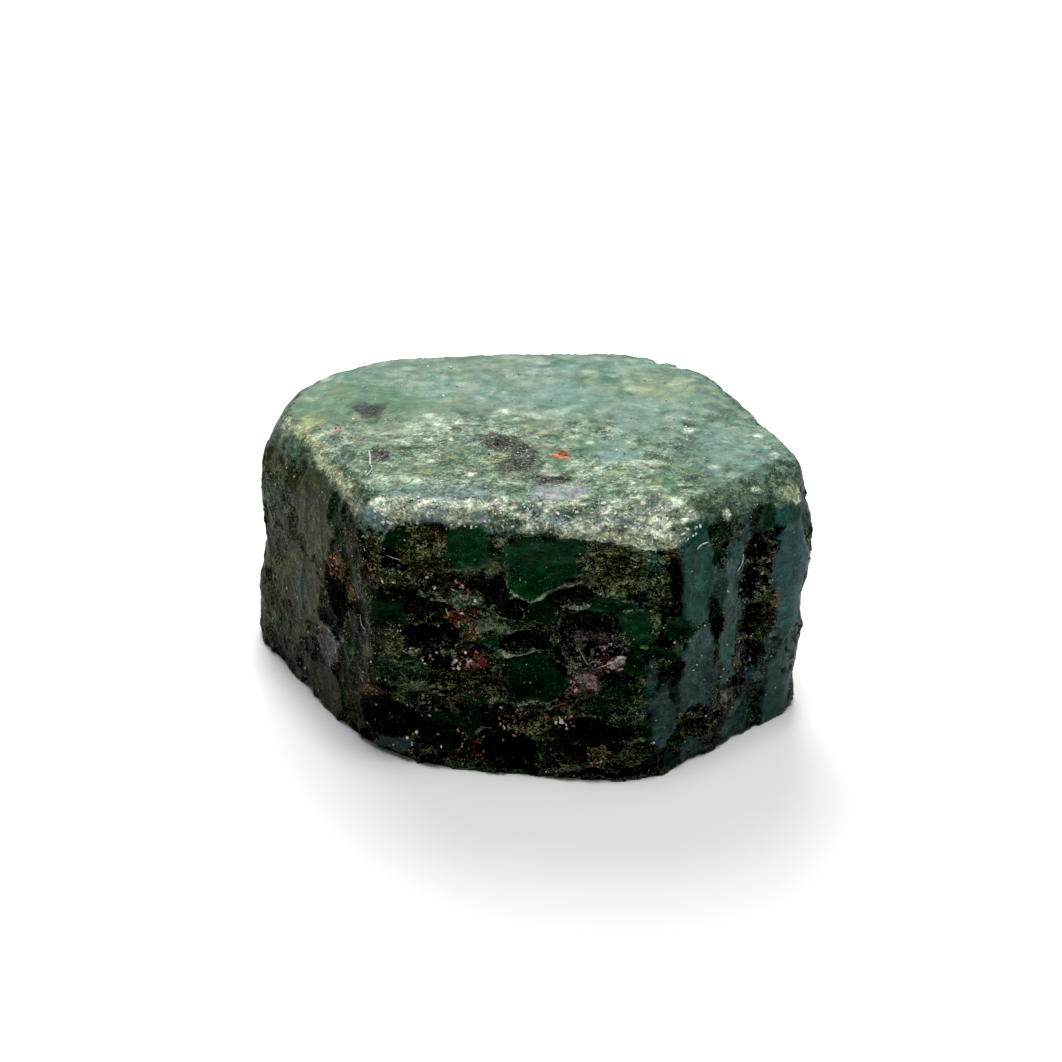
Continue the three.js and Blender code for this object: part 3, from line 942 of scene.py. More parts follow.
# the upturned lips, whose pale flecks are a painted highlight, together with the bulging ridges
litLipOrRidge = np.maximum(lip * deep, 0.8 * ridge)
writeColours(crystal.data, "paint", paintedLayer("colour"))
writeColours(crystal.data, "surface", np.hstack([paintedLayer(key) for key in ("rough", "grain", "specks")]))
writeColours(crystal.data, "region", np.stack([topWeight, sideWeight - upright, upright], axis=1))
writeColours(crystal.data, "edges", np.stack([crestNear, linePale, litLipOrRidge], axis=1))
print("crystal painted")


# Small helpers for the materials' nodes
def addNode(tree, kind, inputs=None, **settings):
    made = tree.nodes.new(kind)
    for key, value in settings.items():
        setattr(made, key, value)
    for key, value in (inputs or {}).items():
        if isinstance(value, bpy.types.NodeSocket):
            tree.links.new(value, made.inputs[key])
        else:
            made.inputs[key].default_value = value
    return made


def noiseAt(tree, place, scale, detail=3, roughness=0.5, output="Fac"):
    inputs = {"Vector": place, "Scale": scale, "Detail": detail, "Roughness": roughness}
    return addNode(tree, "ShaderNodeTexNoise", inputs).outputs[output]


def cellsAt(tree, place, scale, **settings):
    return addNode(tree, "ShaderNodeTexVoronoi", {"Vector": place, "Scale": scale}, **settings).outputs


def stretched(tree, place, scale):
    return addNode(tree, "ShaderNodeMapping", {"Vector": place, "Scale": scale}).outputs["Vector"]


def between(tree, value, low, high, toLow=0.0, toHigh=1.0):
    inputs = {"Value": value, "From Min": low, "From Max": high, "To Min": toLow, "To Max": toHigh}
    return addNode(tree, "ShaderNodeMapRange", inputs, interpolation_type="SMOOTHSTEP").outputs["Result"]


def calc(tree, operation, a, b=0.0):
    return addNode(tree, "ShaderNodeMath", {0: a, 1: b}, operation=operation).outputs["Value"]


def product(tree, *values):
    total = values[0]
    for value in values[1:]:
        total = calc(tree, "MULTIPLY", total, value)
    return total


def weighted(tree, *parts):
    # the sum of values, each times its share
    total = 0.0
    for value, share in parts:
        total = calc(tree, "ADD", total, calc(tree, "MULTIPLY", value, share))
    return total


def vectorCalc(tree, operation, inputs):
    return addNode(tree, "ShaderNodeVectorMath", inputs, operation=operation).outputs["Vector"]


def blend(tree, amount, a, b, mode="MIX"):
    made = addNode(tree, "ShaderNodeMix", data_type="RGBA", blend_type=mode, clamp_factor=True)
    for key, value in ((0, amount), (6, a), (7, b)):
        if isinstance(value, bpy.types.NodeSocket):
            tree.links.new(value, made.inputs[key])
        else:
            made.inputs[key].default_value = (*value, 1) if key else value
    return made.outputs[2]


def split(tree, colour):
    return addNode(tree, "ShaderNodeSeparateColor", {"Color": colour}).outputs


def upOf(tree, vector):
    return addNode(tree, "ShaderNodeSeparateXYZ", {"Vector": vector}).outputs["Z"]


def painted(tree, name):
    return addNode(tree, "ShaderNodeAttribute", attribute_name=name).outputs["Color"]


def grey(tree, value):
    inputs = {"Red": value, "Green": value, "Blue": value}
    return addNode(tree, "ShaderNodeCombineColor", inputs).outputs["Color"]


def newMaterial(name):
    # a material, its nodes, its shader and the place in mm
    material = bpy.data.materials.new(name)
    material.use_nodes = True
    tree = material.node_tree
    place = stretched(tree, addNode(tree, "ShaderNodeTexCoord").outputs["Object"], (1 / mm, 1 / mm, 1 / mm))
    return material, tree, tree.nodes["Principled BSDF"], place


emeraldLook = {
    "evenNoises": {  # how many to the mm, how detailed and how rough
        "cloud": (1.1, 5, 0.62),
        "fine": (3.4, 5, 0.65),
        "grit": (9.0, 3, 0.6),
        "hue": (2.2, 2, 0.5),
        "crowding": (1.3, 3, 0.6),
        "glints": (9.0, 2, 0.7),
        "glintClumps": (1.6, 3, 0.7),
        "speckClumps": (0.9, 3, 0.7),
    },
    "runningNoises": {"streaks": (1.8, 5, 0.62), "flecks": (5.0, 5, 0.72), "ripple": (1.0, 6, 0.9)},
    "runs": {"across": (0.75, 0.75, 2.0), "upright": (1.5, 1.5, 0.85), "top": (0.85, 1.15, 1.15)},
    "bend": (1.1, 3, 0.6),  # the noise that bends the runs of the sides
    "grainsPerMm": 5.5,
    "chipsPerMm": 1.0,
    "chipDepth": 0.9,  # beside the bump's own depth
    "chipShade": (0.25, 0.25, 0.25),  # under a chip's upper rim
    "lineHeight": 0.5,
    "toneSpread": (6.0, 13.0),  # on smooth and on grainy parts
    "topTone": 0.35,  # how much of that the ground top and edges show
    "brightEnd": (2.4, 3.4),  # tones that turn to pale flecks
    "gapShade": (0.16, 0.18, 0.16),
    "specksPerMm": 3.0,
    # painted shade near the foot: how high it reaches and how dark it is at the bottom
    "footHeight": 11,
    "footShade": 0.55,
    # painted glints: how much paler than the flecks they are
    "glintAdded": (0.38, 0.40, 0.30),
    # painted highlight: more pale flecks where a scar's lower lip looks up
    "litLipFlecks": 0.06,  # added to the noise at a scar's lower lip
    "grainFlecks": 0.085,  # and where the stone is grainy
    "clumpFlecks": 0.06,  # taken off between the clumps
    "fleckEdge": (0.63, 0.66),  # the noise that makes a fleck
    "crestEdge": (0.59, 0.71),
    "lineEdge": (0.54, 0.66),
    "paleSpeck": (0.80, 0.78, 0.56),
    "whiteSpeck": (0.82, 0.88, 0.86),
    "crestPale": (0.32, 0.37, 0.26),
    "crestDim": (0.11, 0.14, 0.09),
    # the painted highlight of the lit lips on the strongest ridges
    "lipHighlight": (0.42, 0.46, 0.34),
    "fleckBase": (0.21, 0.25, 0.14),
    "fleckGain": (1.3, 1.3, 1.3),  # how much brighter than the paint the flecks are, beside their base
    "warmTint": (1.14, 1.0, 0.85),
    "coolTint": (0.87, 1.0, 1.06),
    "facetTilt": (0.02, 0.5),  # on smooth and on grainy parts
    "bumpStrength": 0.8,
    "bumpDepth": 0.16,
    "shine": (0.06, 0.12),  # on black and on paler parts
    "bending": 1.58,
}


def readStone(tree, place, look):
    # what the emerald's material reads: the painted layers, the noises and the ways that they run
    stone = SimpleNamespace(place=place, paint=painted(tree, "paint"))
    _, stone.paintGreen, _ = split(tree, stone.paint)
    stone.rough, stone.grain, stone.specks = split(tree, painted(tree, "surface"))
    top, side, stone.upright = split(tree, painted(tree, "region"))
    stone.crestNear, stone.linePale, stone.lip = split(tree, painted(tree, "edges"))
    stone.anySide = calc(tree, "ADD", side, stone.upright)
    stone.grainySide = calc(tree, "MULTIPLY", stone.anySide, between(tree, stone.grain, 0.2, 0.6))

    stone.noise = {name: noiseAt(tree, place, *kind) for name, kind in look["evenNoises"].items()}
    bent = vectorCalc(tree, "ADD", {0: place, 1: noiseAt(tree, place, *look["bend"], output="Color")})
    stone.acrossPlace = stretched(tree, bent, look["runs"]["across"])
    stone.uprightPlace = stretched(tree, bent, look["runs"]["upright"])
    topPlace = stretched(tree, place, look["runs"]["top"])
    across = calc(tree, "SUBTRACT", 1.0, calc(tree, "ADD", stone.upright, top))
    # across the front and the edges, up the left and right faces, and evenly over the top
    runs = ((stone.acrossPlace, across), (stone.uprightPlace, stone.upright), (topPlace, top))
    for name, kind in look["runningNoises"].items():
        parts = [(noiseAt(tree, run, *kind), share) for run, share in runs]
        stone.noise[name] = weighted(tree, *parts)
    return stone


def broadTones(tree, stone, look, colour):
    # broad changes of tone, weak where the surface is smooth
    tone = between(tree, stone.noise["cloud"], 0.3, 0.7, 0.6, 1.4)
    tone = calc(tree, "MULTIPLY", tone, between(tree, stone.noise["streaks"], 0.3, 0.7, 0.45, 1.55))
    share = between(tree, stone.grain, 0.1, 0.7, 0.12, 0.9)
    share = calc(tree, "MAXIMUM", calc(tree, "MULTIPLY", stone.anySide, 0.4), share)
    return blend(tree, share, colour, grey(tree, tone), "MULTIPLY")


def chippedTones(tree, stone, look, colour):
    # chips: shallow angular bowls along each face's grain, each of its own tone, with painted shade under the
    # upper rim and a painted highlight on the lower rim
    isUpright = between(tree, stone.upright, 0.45, 0.55)
    place = blend(tree, isUpright, stone.acrossPlace, stone.uprightPlace)
    chips = cellsAt(tree, place, look["chipsPerMm"])
    gap = cellsAt(tree, place, look["chipsPerMm"], feature="DISTANCE_TO_EDGE")["Distance"]
    chipTone, stone.chipPick, _ = split(tree, chips["Color"])
    below = upOf(tree, vectorCalc(tree, "SUBTRACT", {0: chips["Position"], 1: place}))
    nearEdge = calc(tree, "ADD", gap, calc(tree, "MULTIPLY", stone.noise["grit"], 0.08))
    share = calc(tree, "MULTIPLY", stone.anySide, between(tree, stone.grain, 0.12, 0.6, 0.1, 1.0))
    lowRim = between(tree, nearEdge, 0.07, 0.13, 1.0, 0.0)
    stone.lowRim = product(tree, lowRim, between(tree, below, 0.02, 0.2), stone.grainySide)
    highRimShade = between(tree, nearEdge, 0.06, 0.3, 1.0, 0.0)
    highRimShade = product(tree, highRimShade, between(tree, below, -0.02, -0.25), share)
    stone.chipHeight = product(tree, chips["Distance"], share, look["chipDepth"])
    colour = blend(tree, share, colour, grey(tree, between(tree, chipTone, 0.0, 1.0, 0.4, 1.7)), "MULTIPLY")
    return blend(tree, highRimShade, colour, look["chipShade"], "MULTIPLY")


def fineTones(tree, stone, look, colour):
    # fine changes of tone that are as strong at every size
    ground = calc(tree, "SUBTRACT", 1.0, stone.anySide)
    strength = between(tree, stone.grain, 0.05, 0.8, *look["toneSpread"])
    strength = calc(tree, "MULTIPLY", strength, between(tree, ground, 0.0, 1.0, 1.0, look["topTone"]))
    ripple = calc(tree, "SUBTRACT", stone.noise["ripple"], 0.5)
    stone.fineTone = calc(tree, "EXPONENT", calc(tree, "MULTIPLY", ripple, strength))
    return blend(tree, 1.0, colour, grey(tree, stone.fineTone), "MULTIPLY")


def addFlecks(tree, stone, look, colour):
    # rough parts: dark gaps and pale flecks, warm or cool
    flecks = stone.noise["flecks"]
    darkGap = between(tree, flecks, 0.34, 0.46, 1.0, 0.0)
    darkGap = calc(tree, "MULTIPLY", darkGap, between(tree, stone.grain, 0.1, 0.8, 0.15, 0.9))
    colour = blend(tree, darkGap, colour, look["gapShade"], "MULTIPLY")
    stone.hue = between(tree, stone.noise["hue"], 0.35, 0.65)
    pale = blend(tree, 1.0, stone.paint, look["fleckGain"], "MULTIPLY")
    pale = blend(tree, 1.0, pale, look["fleckBase"], "ADD")
    pale = blend(tree, 1.0, pale, blend(tree, stone.hue, look["coolTint"], look["warmTint"]), "MULTIPLY")
    # rough parts and clumps hold more of the flecks, and the scars' upturned lips get more of them as a
    # painted highlight
    crowding = between(tree, stone.noise["crowding"], 0.38, 0.6, 0.25, 1.0)
    litLipShare = product(tree, stone.lip, between(tree, stone.grain, 0.1, 0.4, 0.25, 1.0), look["litLipFlecks"])
    density = calc(tree, "ADD", between(tree, stone.grain, 0.1, 0.8, 0.0, look["grainFlecks"]), litLipShare)
    sparse = calc(tree, "MULTIPLY", calc(tree, "SUBTRACT", 1.0, crowding), look["clumpFlecks"])
    density = calc(tree, "SUBTRACT", density, sparse)
    fleck = between(tree, calc(tree, "ADD", flecks, density), *look["fleckEdge"])
    fleck = calc(tree, "MULTIPLY", fleck, between(tree, stone.noise["grit"], 0.35, 0.6, 0.4, 1.0))
    brightEnd = product(tree, between(tree, stone.fineTone, *look["brightEnd"]), stone.grainySide, crowding)
    # painted highlight: the lower rims of the chips take pale flecks
    lowLipHighlight = product(tree, stone.lowRim, between(tree, stone.chipPick, 0.3, 0.7), crowding)
    lowLipHighlight = calc(tree, "MULTIPLY", lowLipHighlight, between(tree, flecks, 0.4, 0.55, 0.1, 1.0))
    for mask in (fleck, brightEnd, lowLipHighlight):
        colour = blend(tree, mask, colour, pale)
    stone.fleckColour = pale
    return colour


def addCrests(tree, stone, look, colour):
    # pale broken crests where scars meet, and the ridges, both partly painted highlight
    cloud, flecks = stone.noise["cloud"], stone.noise["flecks"]
    wander = weighted(tree, (stone.noise["fine"], 0.5), (stone.noise["grit"], 0.4))
    stone.wander = calc(tree, "SUBTRACT", wander, 0.45)
    crest = calc(tree, "ADD", stone.crestNear, calc(tree, "MULTIPLY", stone.wander, 1.6))
    crest = between(tree, crest, *look["crestEdge"])
    crest = calc(tree, "MULTIPLY", crest, between(tree, cloud, 0.38, 0.56, 0.1, 1.0))
    crest = calc(tree, "MULTIPLY", crest, between(tree, flecks, 0.4, 0.55, 0.2, 1.0))
    colour = blend(tree, crest, colour, blend(tree, stone.hue, look["crestDim"], look["crestPale"]))
    line = calc(tree, "ADD", stone.linePale, calc(tree, "MULTIPLY", stone.wander, 1.8))
    line = between(tree, line, *look["lineEdge"])
    line = calc(tree, "MULTIPLY", line, between(tree, flecks, 0.43, 0.53, 0.12, 1.0))
    stone.line = calc(tree, "MULTIPLY", line, between(tree, cloud, 0.36, 0.5, 0.35, 1.0))
    return blend(tree, stone.line, colour, blend(tree, stone.linePale, look["crestPale"], look["lipHighlight"]))


def addGlints(tree, stone, look, colour):
    # painted glints: tiny bright bits in the colour, in clumps
    glint = between(tree, stone.noise["glints"], 0.60, 0.66)
    glint = calc(tree, "MULTIPLY", glint, between(tree, stone.noise["glintClumps"], 0.42, 0.6, 0.15, 1.0))
    glint = calc(tree, "MULTIPLY", glint, between(tree, stone.grain, 0.15, 0.9, 0.12, 0.8))
    return blend(tree, glint, colour, blend(tree, 1.0, stone.fleckColour, look["glintAdded"], "ADD"))


def addGrainCells(tree, stone, look, colour):
    # small cells, each of its own brightness and tint
    stone.cellColour = cellsAt(tree, stone.place, look["grainsPerMm"])["Color"]
    chance, tint, _ = split(tree, stone.cellColour)
    grained = blend(tree, 1.0, colour, grey(tree, between(tree, chance, 0.0, 1.0, 0.35, 1.6)), "MULTIPLY")
    grained = blend(tree, 1.0, grained, blend(tree, tint, look["coolTint"], look["warmTint"]), "MULTIPLY")
    return blend(tree, calc(tree, "MULTIPLY", stone.grain, 0.65), colour, grained)


def addSpecks(tree, stone, look, colour):
    # a few of the cells' middles, pale yellow or white
    dots = cellsAt(tree, stone.place, look["specksPerMm"])
    pick, tint, size = split(tree, dots["Color"])
    share = between(tree, stone.noise["speckClumps"], 0.35, 0.7, 0.2, 1.0)
    share = calc(tree, "MULTIPLY", stone.specks, share)
    picked = between(tree, calc(tree, "ADD", pick, share), 1.12, 1.2)
    away = calc(tree, "ADD", dots["Distance"], calc(tree, "MULTIPLY", stone.wander, 0.25))
    mask = calc(tree, "MULTIPLY", picked, between(tree, away, 0.1, 0.2, 1.0, 0.0))
    mask = calc(tree, "MULTIPLY", mask, between(tree, size, 0.0, 1.0, 0.3, 1.0))
    pale = blend(tree, between(tree, tint, 0.55, 0.65), look["paleSpeck"], look["whiteSpeck"])
    return blend(tree, mask, colour, pale)


def paintedFootShade(tree, stone, look, colour):
    # painted shade: the sides darken towards the foot
    foot = between(tree, upOf(tree, stone.place), 0.0, look["footHeight"], look["footShade"], 1.0)
    return blend(tree, stone.anySide, colour, grey(tree, foot), "MULTIPLY")


def surfaceBump(tree, stone, look):
    # tiny tilted faces that catch the light one by one, and the fine relief over them
    tilt = vectorCalc(tree, "SUBTRACT", {0: stone.cellColour, 1: (0.5, 0.5, 0.5)})
    amount = between(tree, stone.grain, 0.0, 1.0, *look["facetTilt"])
    tilt = vectorCalc(tree, "SCALE", {0: tilt, "Scale": amount})
    straight = addNode(tree, "ShaderNodeNewGeometry").outputs["Normal"]
    tilted = vectorCalc(tree, "NORMALIZE", {0: vectorCalc(tree, "ADD", {0: straight, 1: tilt})})
    height = weighted(tree, (stone.noise["flecks"], 0.8), (stone.noise["grit"], 0.2))
    height = calc(tree, "MULTIPLY", height, between(tree, stone.grain, 0.0, 1.0, 0.12, 1.0))
    others = weighted(tree, (stone.noise["streaks"], 0.2), (stone.line, look["lineHeight"]))
    height = calc(tree, "ADD", calc(tree, "ADD", height, stone.chipHeight), others)
    return addNode(tree, "ShaderNodeBump", {
        "Strength": look["bumpStrength"],
        "Distance": look["bumpDepth"] * mm,
        "Height": height,
        "Normal": tilted,
    }).outputs["Normal"]


def emeraldMaterial(look):
    material, tree, shader, place = newMaterial("rough emerald")
    stone = readStone(tree, place, look)
    colour = stone.paint
    layers = (broadTones, chippedTones, fineTones, addFlecks, addCrests, addGlints, addGrainCells, addSpecks)
    for addLayer in (*layers, paintedFootShade):
        colour = addLayer(tree, stone, look, colour)
    tree.links.new(colour, shader.inputs["Base Color"])
    uneven = between(tree, stone.noise["fine"], 0.3, 0.7, -0.08, 0.12)
    tree.links.new(calc(tree, "ADD", stone.rough, uneven), shader.inputs["Roughness"])
    tree.links.new(surfaceBump(tree, stone, look), shader.inputs["Normal"])
    # the black hollows shine less
    shine = between(tree, stone.paintGreen, 0.002, 0.06, *look["shine"])
    tree.links.new(shine, shader.inputs["Specular IOR Level"])
    shader.inputs["IOR"].default_value = look["bending"]
    return material


crystal.data.materials.clear()
crystal.data.materials.append(emeraldMaterial(emeraldLook))
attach(crystal, "root")
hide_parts("emerald_crystal")
print("crystal finished")

# Grains and flakes set in the surface: each is a small stone or a thin six-sided plate, partly sunk
grainLook = {
    "seed": 41,
    "sunk": 0.25,  # of its size
    "lowest": 0.45,  # none lie under this level, so that none touch the table
    "flakeChance": 0.45,
    "jitter": 0.08,
    "lean": 0.7,  # in radians
    "stretch": [(0.8, 1.5), (0.6, 1.0), (0.5, 0.9)],
    "shade": (0.6, 1.15),
    "colours": {
        "white": (0.78, 0.79, 0.74), "yellow": (0.74, 0.72, 0.50), "pale": (0.38, 0.44, 0.32),
        "pink": (0.36, 0.07, 0.11), "red": (0.16, 0.010, 0.018), "rose": (0.50, 0.30, 0.30),
        "purple": (0.06, 0.035, 0.07), "lavender": (0.28, 0.25, 0.32), "orange": (0.48, 0.17, 0.05),
        "amber": (0.34, 0.19, 0.05), "black": (0.004, 0.004, 0.005),
    },
    "clusters": named(("name", "at", "reach", "count", "size", "of"), [
        ("red pocket", (471, 659), 0.5, 34, (0.05, 0.13), ["pink", "red", "rose"]),
        ("end of the red pocket", (480, 663), 0.5, 34, (0.05, 0.14), ["red", "red", "pink"]),
        ("white grains of the pocket", (462, 660), 0.6, 14, (0.07, 0.18), ["white", "rose", "lavender"]),
        ("green grains beside it", (451, 661), 0.5, 12, (0.06, 0.14), ["pale", "white"]),
        ("red ledge", (463, 618), 1.0, 50, (0.05, 0.13), ["pink", "orange", "red", "rose"]),
        ("orange grains", (451, 616), 0.45, 14, (0.06, 0.14), ["orange", "amber"]),
        ("pink grains above", (461, 591), 0.6, 22, (0.05, 0.13), ["pink", "rose", "purple"]),
        ("grey grains", (470, 604), 0.8, 20, (0.05, 0.13), ["white", "lavender", "pale"]),
        ("glitter of the hollow", (607, 658), 0.9, 46, (0.05, 0.14), ["pink", "red", "lavender", "purple"]),
        ("pale grain of the hollow", (616, 664), 0.4, 12, (0.12, 0.26), ["rose", "white", "rose"]),
        ("glitter above the hollow", (612, 645), 0.9, 30, (0.05, 0.13), ["lavender", "white", "rose"]),
        ("hollow", (590, 646), 1.3, 50, (0.07, 0.18), ["purple", "purple", "lavender", "black"]),
        ("pink mica", (585, 682), 1.0, 44, (0.05, 0.14), ["rose", "pink", "lavender", "red"]),
        ("pale pink mica", (573, 686), 0.45, 14, (0.07, 0.17), ["rose", "white", "orange"]),
        ("tan ring", (434, 652), 0.45, 14, (0.06, 0.15), ["amber", "rose", "red", "yellow"]),
        ("small grains left of it", (417, 655), 0.5, 14, (0.05, 0.12), ["rose", "pale", "white"]),
        ("spot on the left rim", (397, 626), 0.4, 12, (0.06, 0.14), ["rose", "yellow", "white"]),
        ("red grains under the lens", (447, 700), 0.9, 26, (0.05, 0.14), ["rose", "pink", "red", "pale"]),
        ("grains left of them", (425, 704), 0.9, 18, (0.06, 0.15), ["lavender", "pale", "rose"]),
        ("rust at the foot", (472, 744), 1.0, 36, (0.05, 0.14), ["red", "red", "orange", "rose"]),
        ("red spot at the foot", (456, 754), 0.5, 12, (0.05, 0.12), ["red", "orange"]),
        ("orange break", (566, 721), 0.6, 22, (0.06, 0.15), ["orange", "amber", "white"]),
        ("purple grains", (566, 706), 0.8, 18, (0.05, 0.13), ["purple", "pink", "lavender"]),
        ("brown grains", (512, 722), 0.9, 24, (0.05, 0.14), ["amber", "rose", "yellow"]),
        ("rusty left foot", (368, 690), 1.0, 34, (0.05, 0.14), ["orange", "amber", "red"]),
        ("yellow spots", (412, 738), 0.6, 16, (0.06, 0.15), ["yellow", "amber", "white"]),
        ("knob grains", (400, 752), 1.0, 20, (0.05, 0.12), ["amber", "orange", "yellow"]),
        ("brown grains of the foot", (600, 758), 0.9, 26, (0.05, 0.14), ["rose", "amber", "red"]),
        ("amber on the upper left", (389, 581), 0.5, 14, (0.05, 0.13), ["amber", "yellow", "orange"]),
        ("red chip of the left face", (336, 566), 0.8, 30, (0.05, 0.13), ["red", "orange", "rose"]),
        ("amber of the pit", (350, 593), 0.5, 12, (0.05, 0.12), ["amber", "yellow"]),
        ("purple specks on the left", (361, 676), 0.6, 18, (0.05, 0.12), ["purple", "rose", "white"]),
        ("red grain of the right", (769, 616), 0.5, 14, (0.05, 0.12), ["red", "orange"]),
        ("upper pits", (750, 575), 1.6, 60, (0.06, 0.16), ["purple", "lavender", "black", "pale"]),
        ("lower pits", (741, 650), 1.8, 60, (0.06, 0.16), ["purple", "lavender", "black", "pale"]),
        ("orange fleck of the top", (561, 454), 0.5, 18, (0.07, 0.16), ["orange", "orange", "amber"]),
        ("pink fleck of the top", (338, 428), 0.4, 8, (0.06, 0.12), ["rose", "pink"]),
        ("flakes of the top mica", (512, 458), 1.8, 60, (0.05, 0.12), ["purple", "black", "rose", "white"]),
        ("flakes of the second mica", (500, 440), 1.1, 26, (0.05, 0.12), ["purple", "black", "orange"]),
    ]),
    "scattered": named(("on", "count", "size", "of"), [
        ("rim", 620, (0.04, 0.12), ["white", "yellow", "white", "pale"]),
        ("top", 260, (0.04, 0.11), ["white", "pale", "yellow", "rose"]),
        ("side", 620, (0.03, 0.10), ["pale", "pale", "yellow", "white"]),
        ("side", 160, (0.05, 0.12), ["red", "orange", "rose", "purple"]),
    ]),
    "hidden": {  # clusters where the photograph doesn't reach, each of a few of these colours
        "count": 16, "each": 26, "reach": 1.1, "size": (0.05, 0.15), "kinds": 3,
        "of": ["pink", "red", "rose", "orange", "amber", "purple", "lavender", "pale"],
    },
}
stoneTree = surfaceTree()


def addGrain(bm, layer, place, normal, size, colour, rng):
    flake = rng.random() < grainLook["flakeChance"]
    spin = Matrix.Rotation(rng.uniform(0, math.tau), 4, "Z")
    spin = spin @ Matrix.Rotation(rng.uniform(-grainLook["lean"], grainLook["lean"]), 4, "X")
    upright = Vector(normal).to_track_quat("Z", "Y").to_matrix().to_4x4()
    middle = Vector(place) - Vector(normal) * size * grainLook["sunk"]
    stretch = Matrix.Diagonal((*[rng.uniform(*reach) for reach in grainLook["stretch"]], 1))
    turn = Matrix.Translation(middle * mm) @ upright @ spin @ Matrix.Scale(size * mm, 4) @ stretch
    if flake:
        plate = {"segments": 6, "radius1": 1.1, "radius2": 0.9, "depth": 0.5}
        made = bmesh.ops.create_cone(bm, cap_ends=True, matrix=turn, **plate)
    else:
        made = bmesh.ops.create_icosphere(bm, subdivisions=1, radius=1, matrix=turn)
    shade = rng.uniform(*grainLook["shade"])
    for vert in made["verts"]:
        vert[layer] = (*(shade * part for part in colour), 1)


def addGrains(look):
    rng = random.Random(look["seed"])
    bm = bmesh.new()
    layer = bm.verts.layers.float_color.new("grainPaint")
    slab = sortedSlab(points)

    def addSome(places, count, size, names):
        for _ in range(count):
            index = places[rng.randrange(len(places))]
            place = points[index] + np.array([rng.uniform(-look["jitter"], look["jitter"]) for _ in range(3)])
            if place[2] > look["lowest"]:
                reach = rng.uniform(*size)
                addGrain(bm, layer, place, fineNormals[index], reach, look["colours"][rng.choice(names)], rng)

    for cluster in look["clusters"]:
        hit = onStone(cluster["at"])
        if hit is None:
            print("off the stone:", cluster["name"])
            continue
        near = within(points, slab, hit[0], cluster["reach"])
        addSome(near, cluster["count"], cluster["size"], cluster["of"])
    places = {
        "rim": np.flatnonzero((rimWeight > 0.35) & (bandShare > 0.3)),
        "top": np.flatnonzero(topWeight > 0.6),
        "side": np.flatnonzero(sideWeight > 0.5),
    }
    for kind in look["scattered"]:
        addSome(places[kind["on"]], kind["count"], kind["size"], kind["of"])
    unseen = np.flatnonzero((sideWeight > 0.6) & (fineNormals[:, 1] > 0.2))
    hidden = look["hidden"]
    for _ in range(hidden["count"]):
        near = within(points, slab, points[unseen[rng.randrange(len(unseen))]], hidden["reach"])
        addSome(near, hidden["each"], hidden["size"], rng.sample(hidden["of"], hidden["kinds"]))
    return placed("grains", meshFrom(bm, "grains"))


def grainMaterial():
    material, tree, shader, place = newMaterial("set grains")
    tone = between(tree, noiseAt(tree, place, 8.0, 3, 0.6), 0.3, 0.7, 0.55, 1.3)
    colour = blend(tree, 1.0, painted(tree, "grainPaint"), grey(tree, tone), "MULTIPLY")
    tree.links.new(colour, shader.inputs["Base Color"])
    tree.links.new(between(tree, noiseAt(tree, place, 5.0), 0.3, 0.7, 0.25, 0.55), shader.inputs["Roughness"])
    shader.inputs["Specular IOR Level"].default_value = 0.3
    return material


grains = addGrains(grainLook)
grains.data.materials.append(grainMaterial())
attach(grains, "root")
print("grains set:", len(grains.data.polygons), "faces")

# Loose fibres of lint that cling to the stone
lintLook = {
    "clear": 0.05,  # how far a fibre's middle lies off the surface
    "roundness": 2,
    "fineness": 4,
    "colour": (0.62, 0.60, 0.54),
    "rough": 0.8,
    "shine": 0.1,
    "fibres": [  # half the thickness, and the places that each one passes
        (0.07, [(369, 451), (371, 459), (370, 466)]),
        (0.04, [(370, 466), (373, 467), (371, 472), (366, 477)]),
        (0.025, [(578, 647), (582, 655), (588, 665), (592, 669), (599, 668), (607, 665), (613, 662)]),
        (0.018, [(590, 664), (595, 659), (601, 663)]),
        (0.04, [(697, 549), (699, 546), (703, 543), (708, 542)]),
        (0.04, [(743, 554), (743, 559), (741, 565), (737, 571)]),
        (0.03, [(361, 614), (361, 621), (363, 627), (366, 630)]),
        (0.04, [(446, 608), (447, 612), (449, 616)]),
        (0.02, [(387, 555), (393, 558), (401, 560)]),
    ],
}


def fibreTube(thickness, through, look):
    curve = bpy.data.curves.new("fibre", "CURVE")
    curve.dimensions = "3D"
    curve.bevel_depth = thickness * mm
    curve.bevel_resolution = look["roundness"]
    curve.use_fill_caps = True
    spline = curve.splines.new("NURBS")
    spline.points.add(len(through) - 1)
    for point, at in zip(spline.points, through):
        place, normal = onStone(at)
        point.co = (*((place + normal * look["clear"]) * mm), 1)
    spline.order_u = 3
    spline.use_endpoint_u = True
    spline.resolution_u = look["fineness"]
    fibre = placed("fibre", curve)
    tube = bpy.data.meshes.new_from_object(fibre.evaluated_get(bpy.context.evaluated_depsgraph_get()))
    bpy.data.objects.remove(fibre)
    bpy.data.curves.remove(curve)
    return tube


def addLint(look):
    bm = bmesh.new()
    for thickness, through in look["fibres"]:
        tube = fibreTube(thickness, through, look)
        bm.from_mesh(tube)
        bpy.data.meshes.remove(tube)
    bmesh.ops.remove_doubles(bm, verts=bm.verts, dist=weld * mm)
    bmesh.ops.recalc_face_normals(bm, faces=bm.faces)
    mesh = meshFrom(bm, "lint")
    mesh.shade_smooth()
    return placed("lint", mesh)


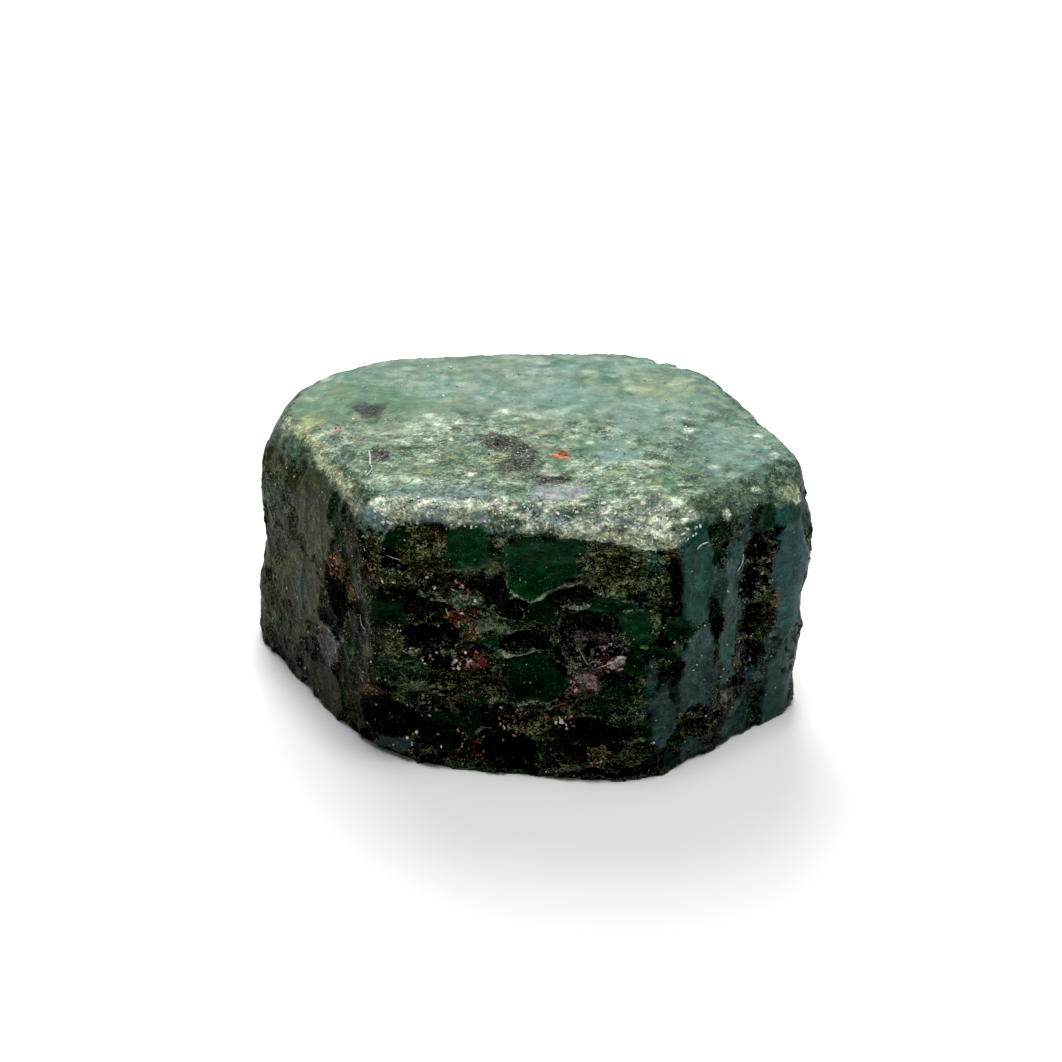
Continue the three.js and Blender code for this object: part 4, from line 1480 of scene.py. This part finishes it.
def lintMaterial(look):
    material, tree, shader, place = newMaterial("lint")
    tone = between(tree, noiseAt(tree, place, 4.0), 0.3, 0.7, 0.6, 1.2)
    colour = blend(tree, 1.0, look["colour"], grey(tree, tone), "MULTIPLY")
    tree.links.new(colour, shader.inputs["Base Color"])
    shader.inputs["Roughness"].default_value = look["rough"]
    shader.inputs["Specular IOR Level"].default_value = look["shine"]
    return material


lint = addLint(lintLook)
lint.data.materials.append(lintMaterial(lintLook))
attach(lint, "root")
print("lint laid:", len(lintLook["fibres"]), "fibres")

table = {
    "side": 3000,
    "colour": (0.86, 0.86, 0.85),
    "roughness": 0.7,
}


def addTable(settings):
    bm = bmesh.new()
    bmesh.ops.create_grid(bm, x_segments=1, y_segments=1, size=settings["side"] / 2 * mm)
    mesh = meshFrom(bm, "table")
    material = bpy.data.materials.new("pale table")
    material.use_nodes = True
    shader = material.node_tree.nodes["Principled BSDF"]
    shader.inputs["Base Color"].default_value = (*settings["colour"], 1)
    shader.inputs["Roughness"].default_value = settings["roughness"]
    mesh.materials.append(material)
    made = placed("table", mesh)


addTable(table)

# Soft light: a large window high behind, and a smaller one straight above
lights = named(("name", "place", "size", "power"), [
    ("window", (-60, 330, 400), 300, 2.0),
    ("skylight", (30, -30, 480), 180, 1.7),
])
surroundings = {"colour": (0.95, 0.98, 1.0), "strength": 0.22}
printTone = {"black": 0.009, "gamma": 0.92}


def addLights(settings):
    for light in settings:
        data = bpy.data.lights.new(light["name"], "AREA")
        data.size = light["size"] * mm
        data.energy = light["power"]
        made = placed(light["name"], data)
        made.location = Vector(light["place"]) * mm
        made.rotation_euler = (-made.location).to_track_quat("-Z", "Y").to_euler()


addLights(lights)
world = bpy.data.worlds.new("surroundings")
world.use_nodes = True
world.node_tree.nodes["Background"].inputs["Color"].default_value = (*surroundings["colour"], 1)
world.node_tree.nodes["Background"].inputs["Strength"].default_value = surroundings["strength"]
scene.world = world
scene.view_settings.view_transform = "Standard"
scene.view_settings.gamma = printTone["gamma"]
scene.view_settings.use_curve_mapping = True
scene.view_settings.curve_mapping.black_level = [printTone["black"]] * 3
scene.view_settings.curve_mapping.update()
print("table and lights set")
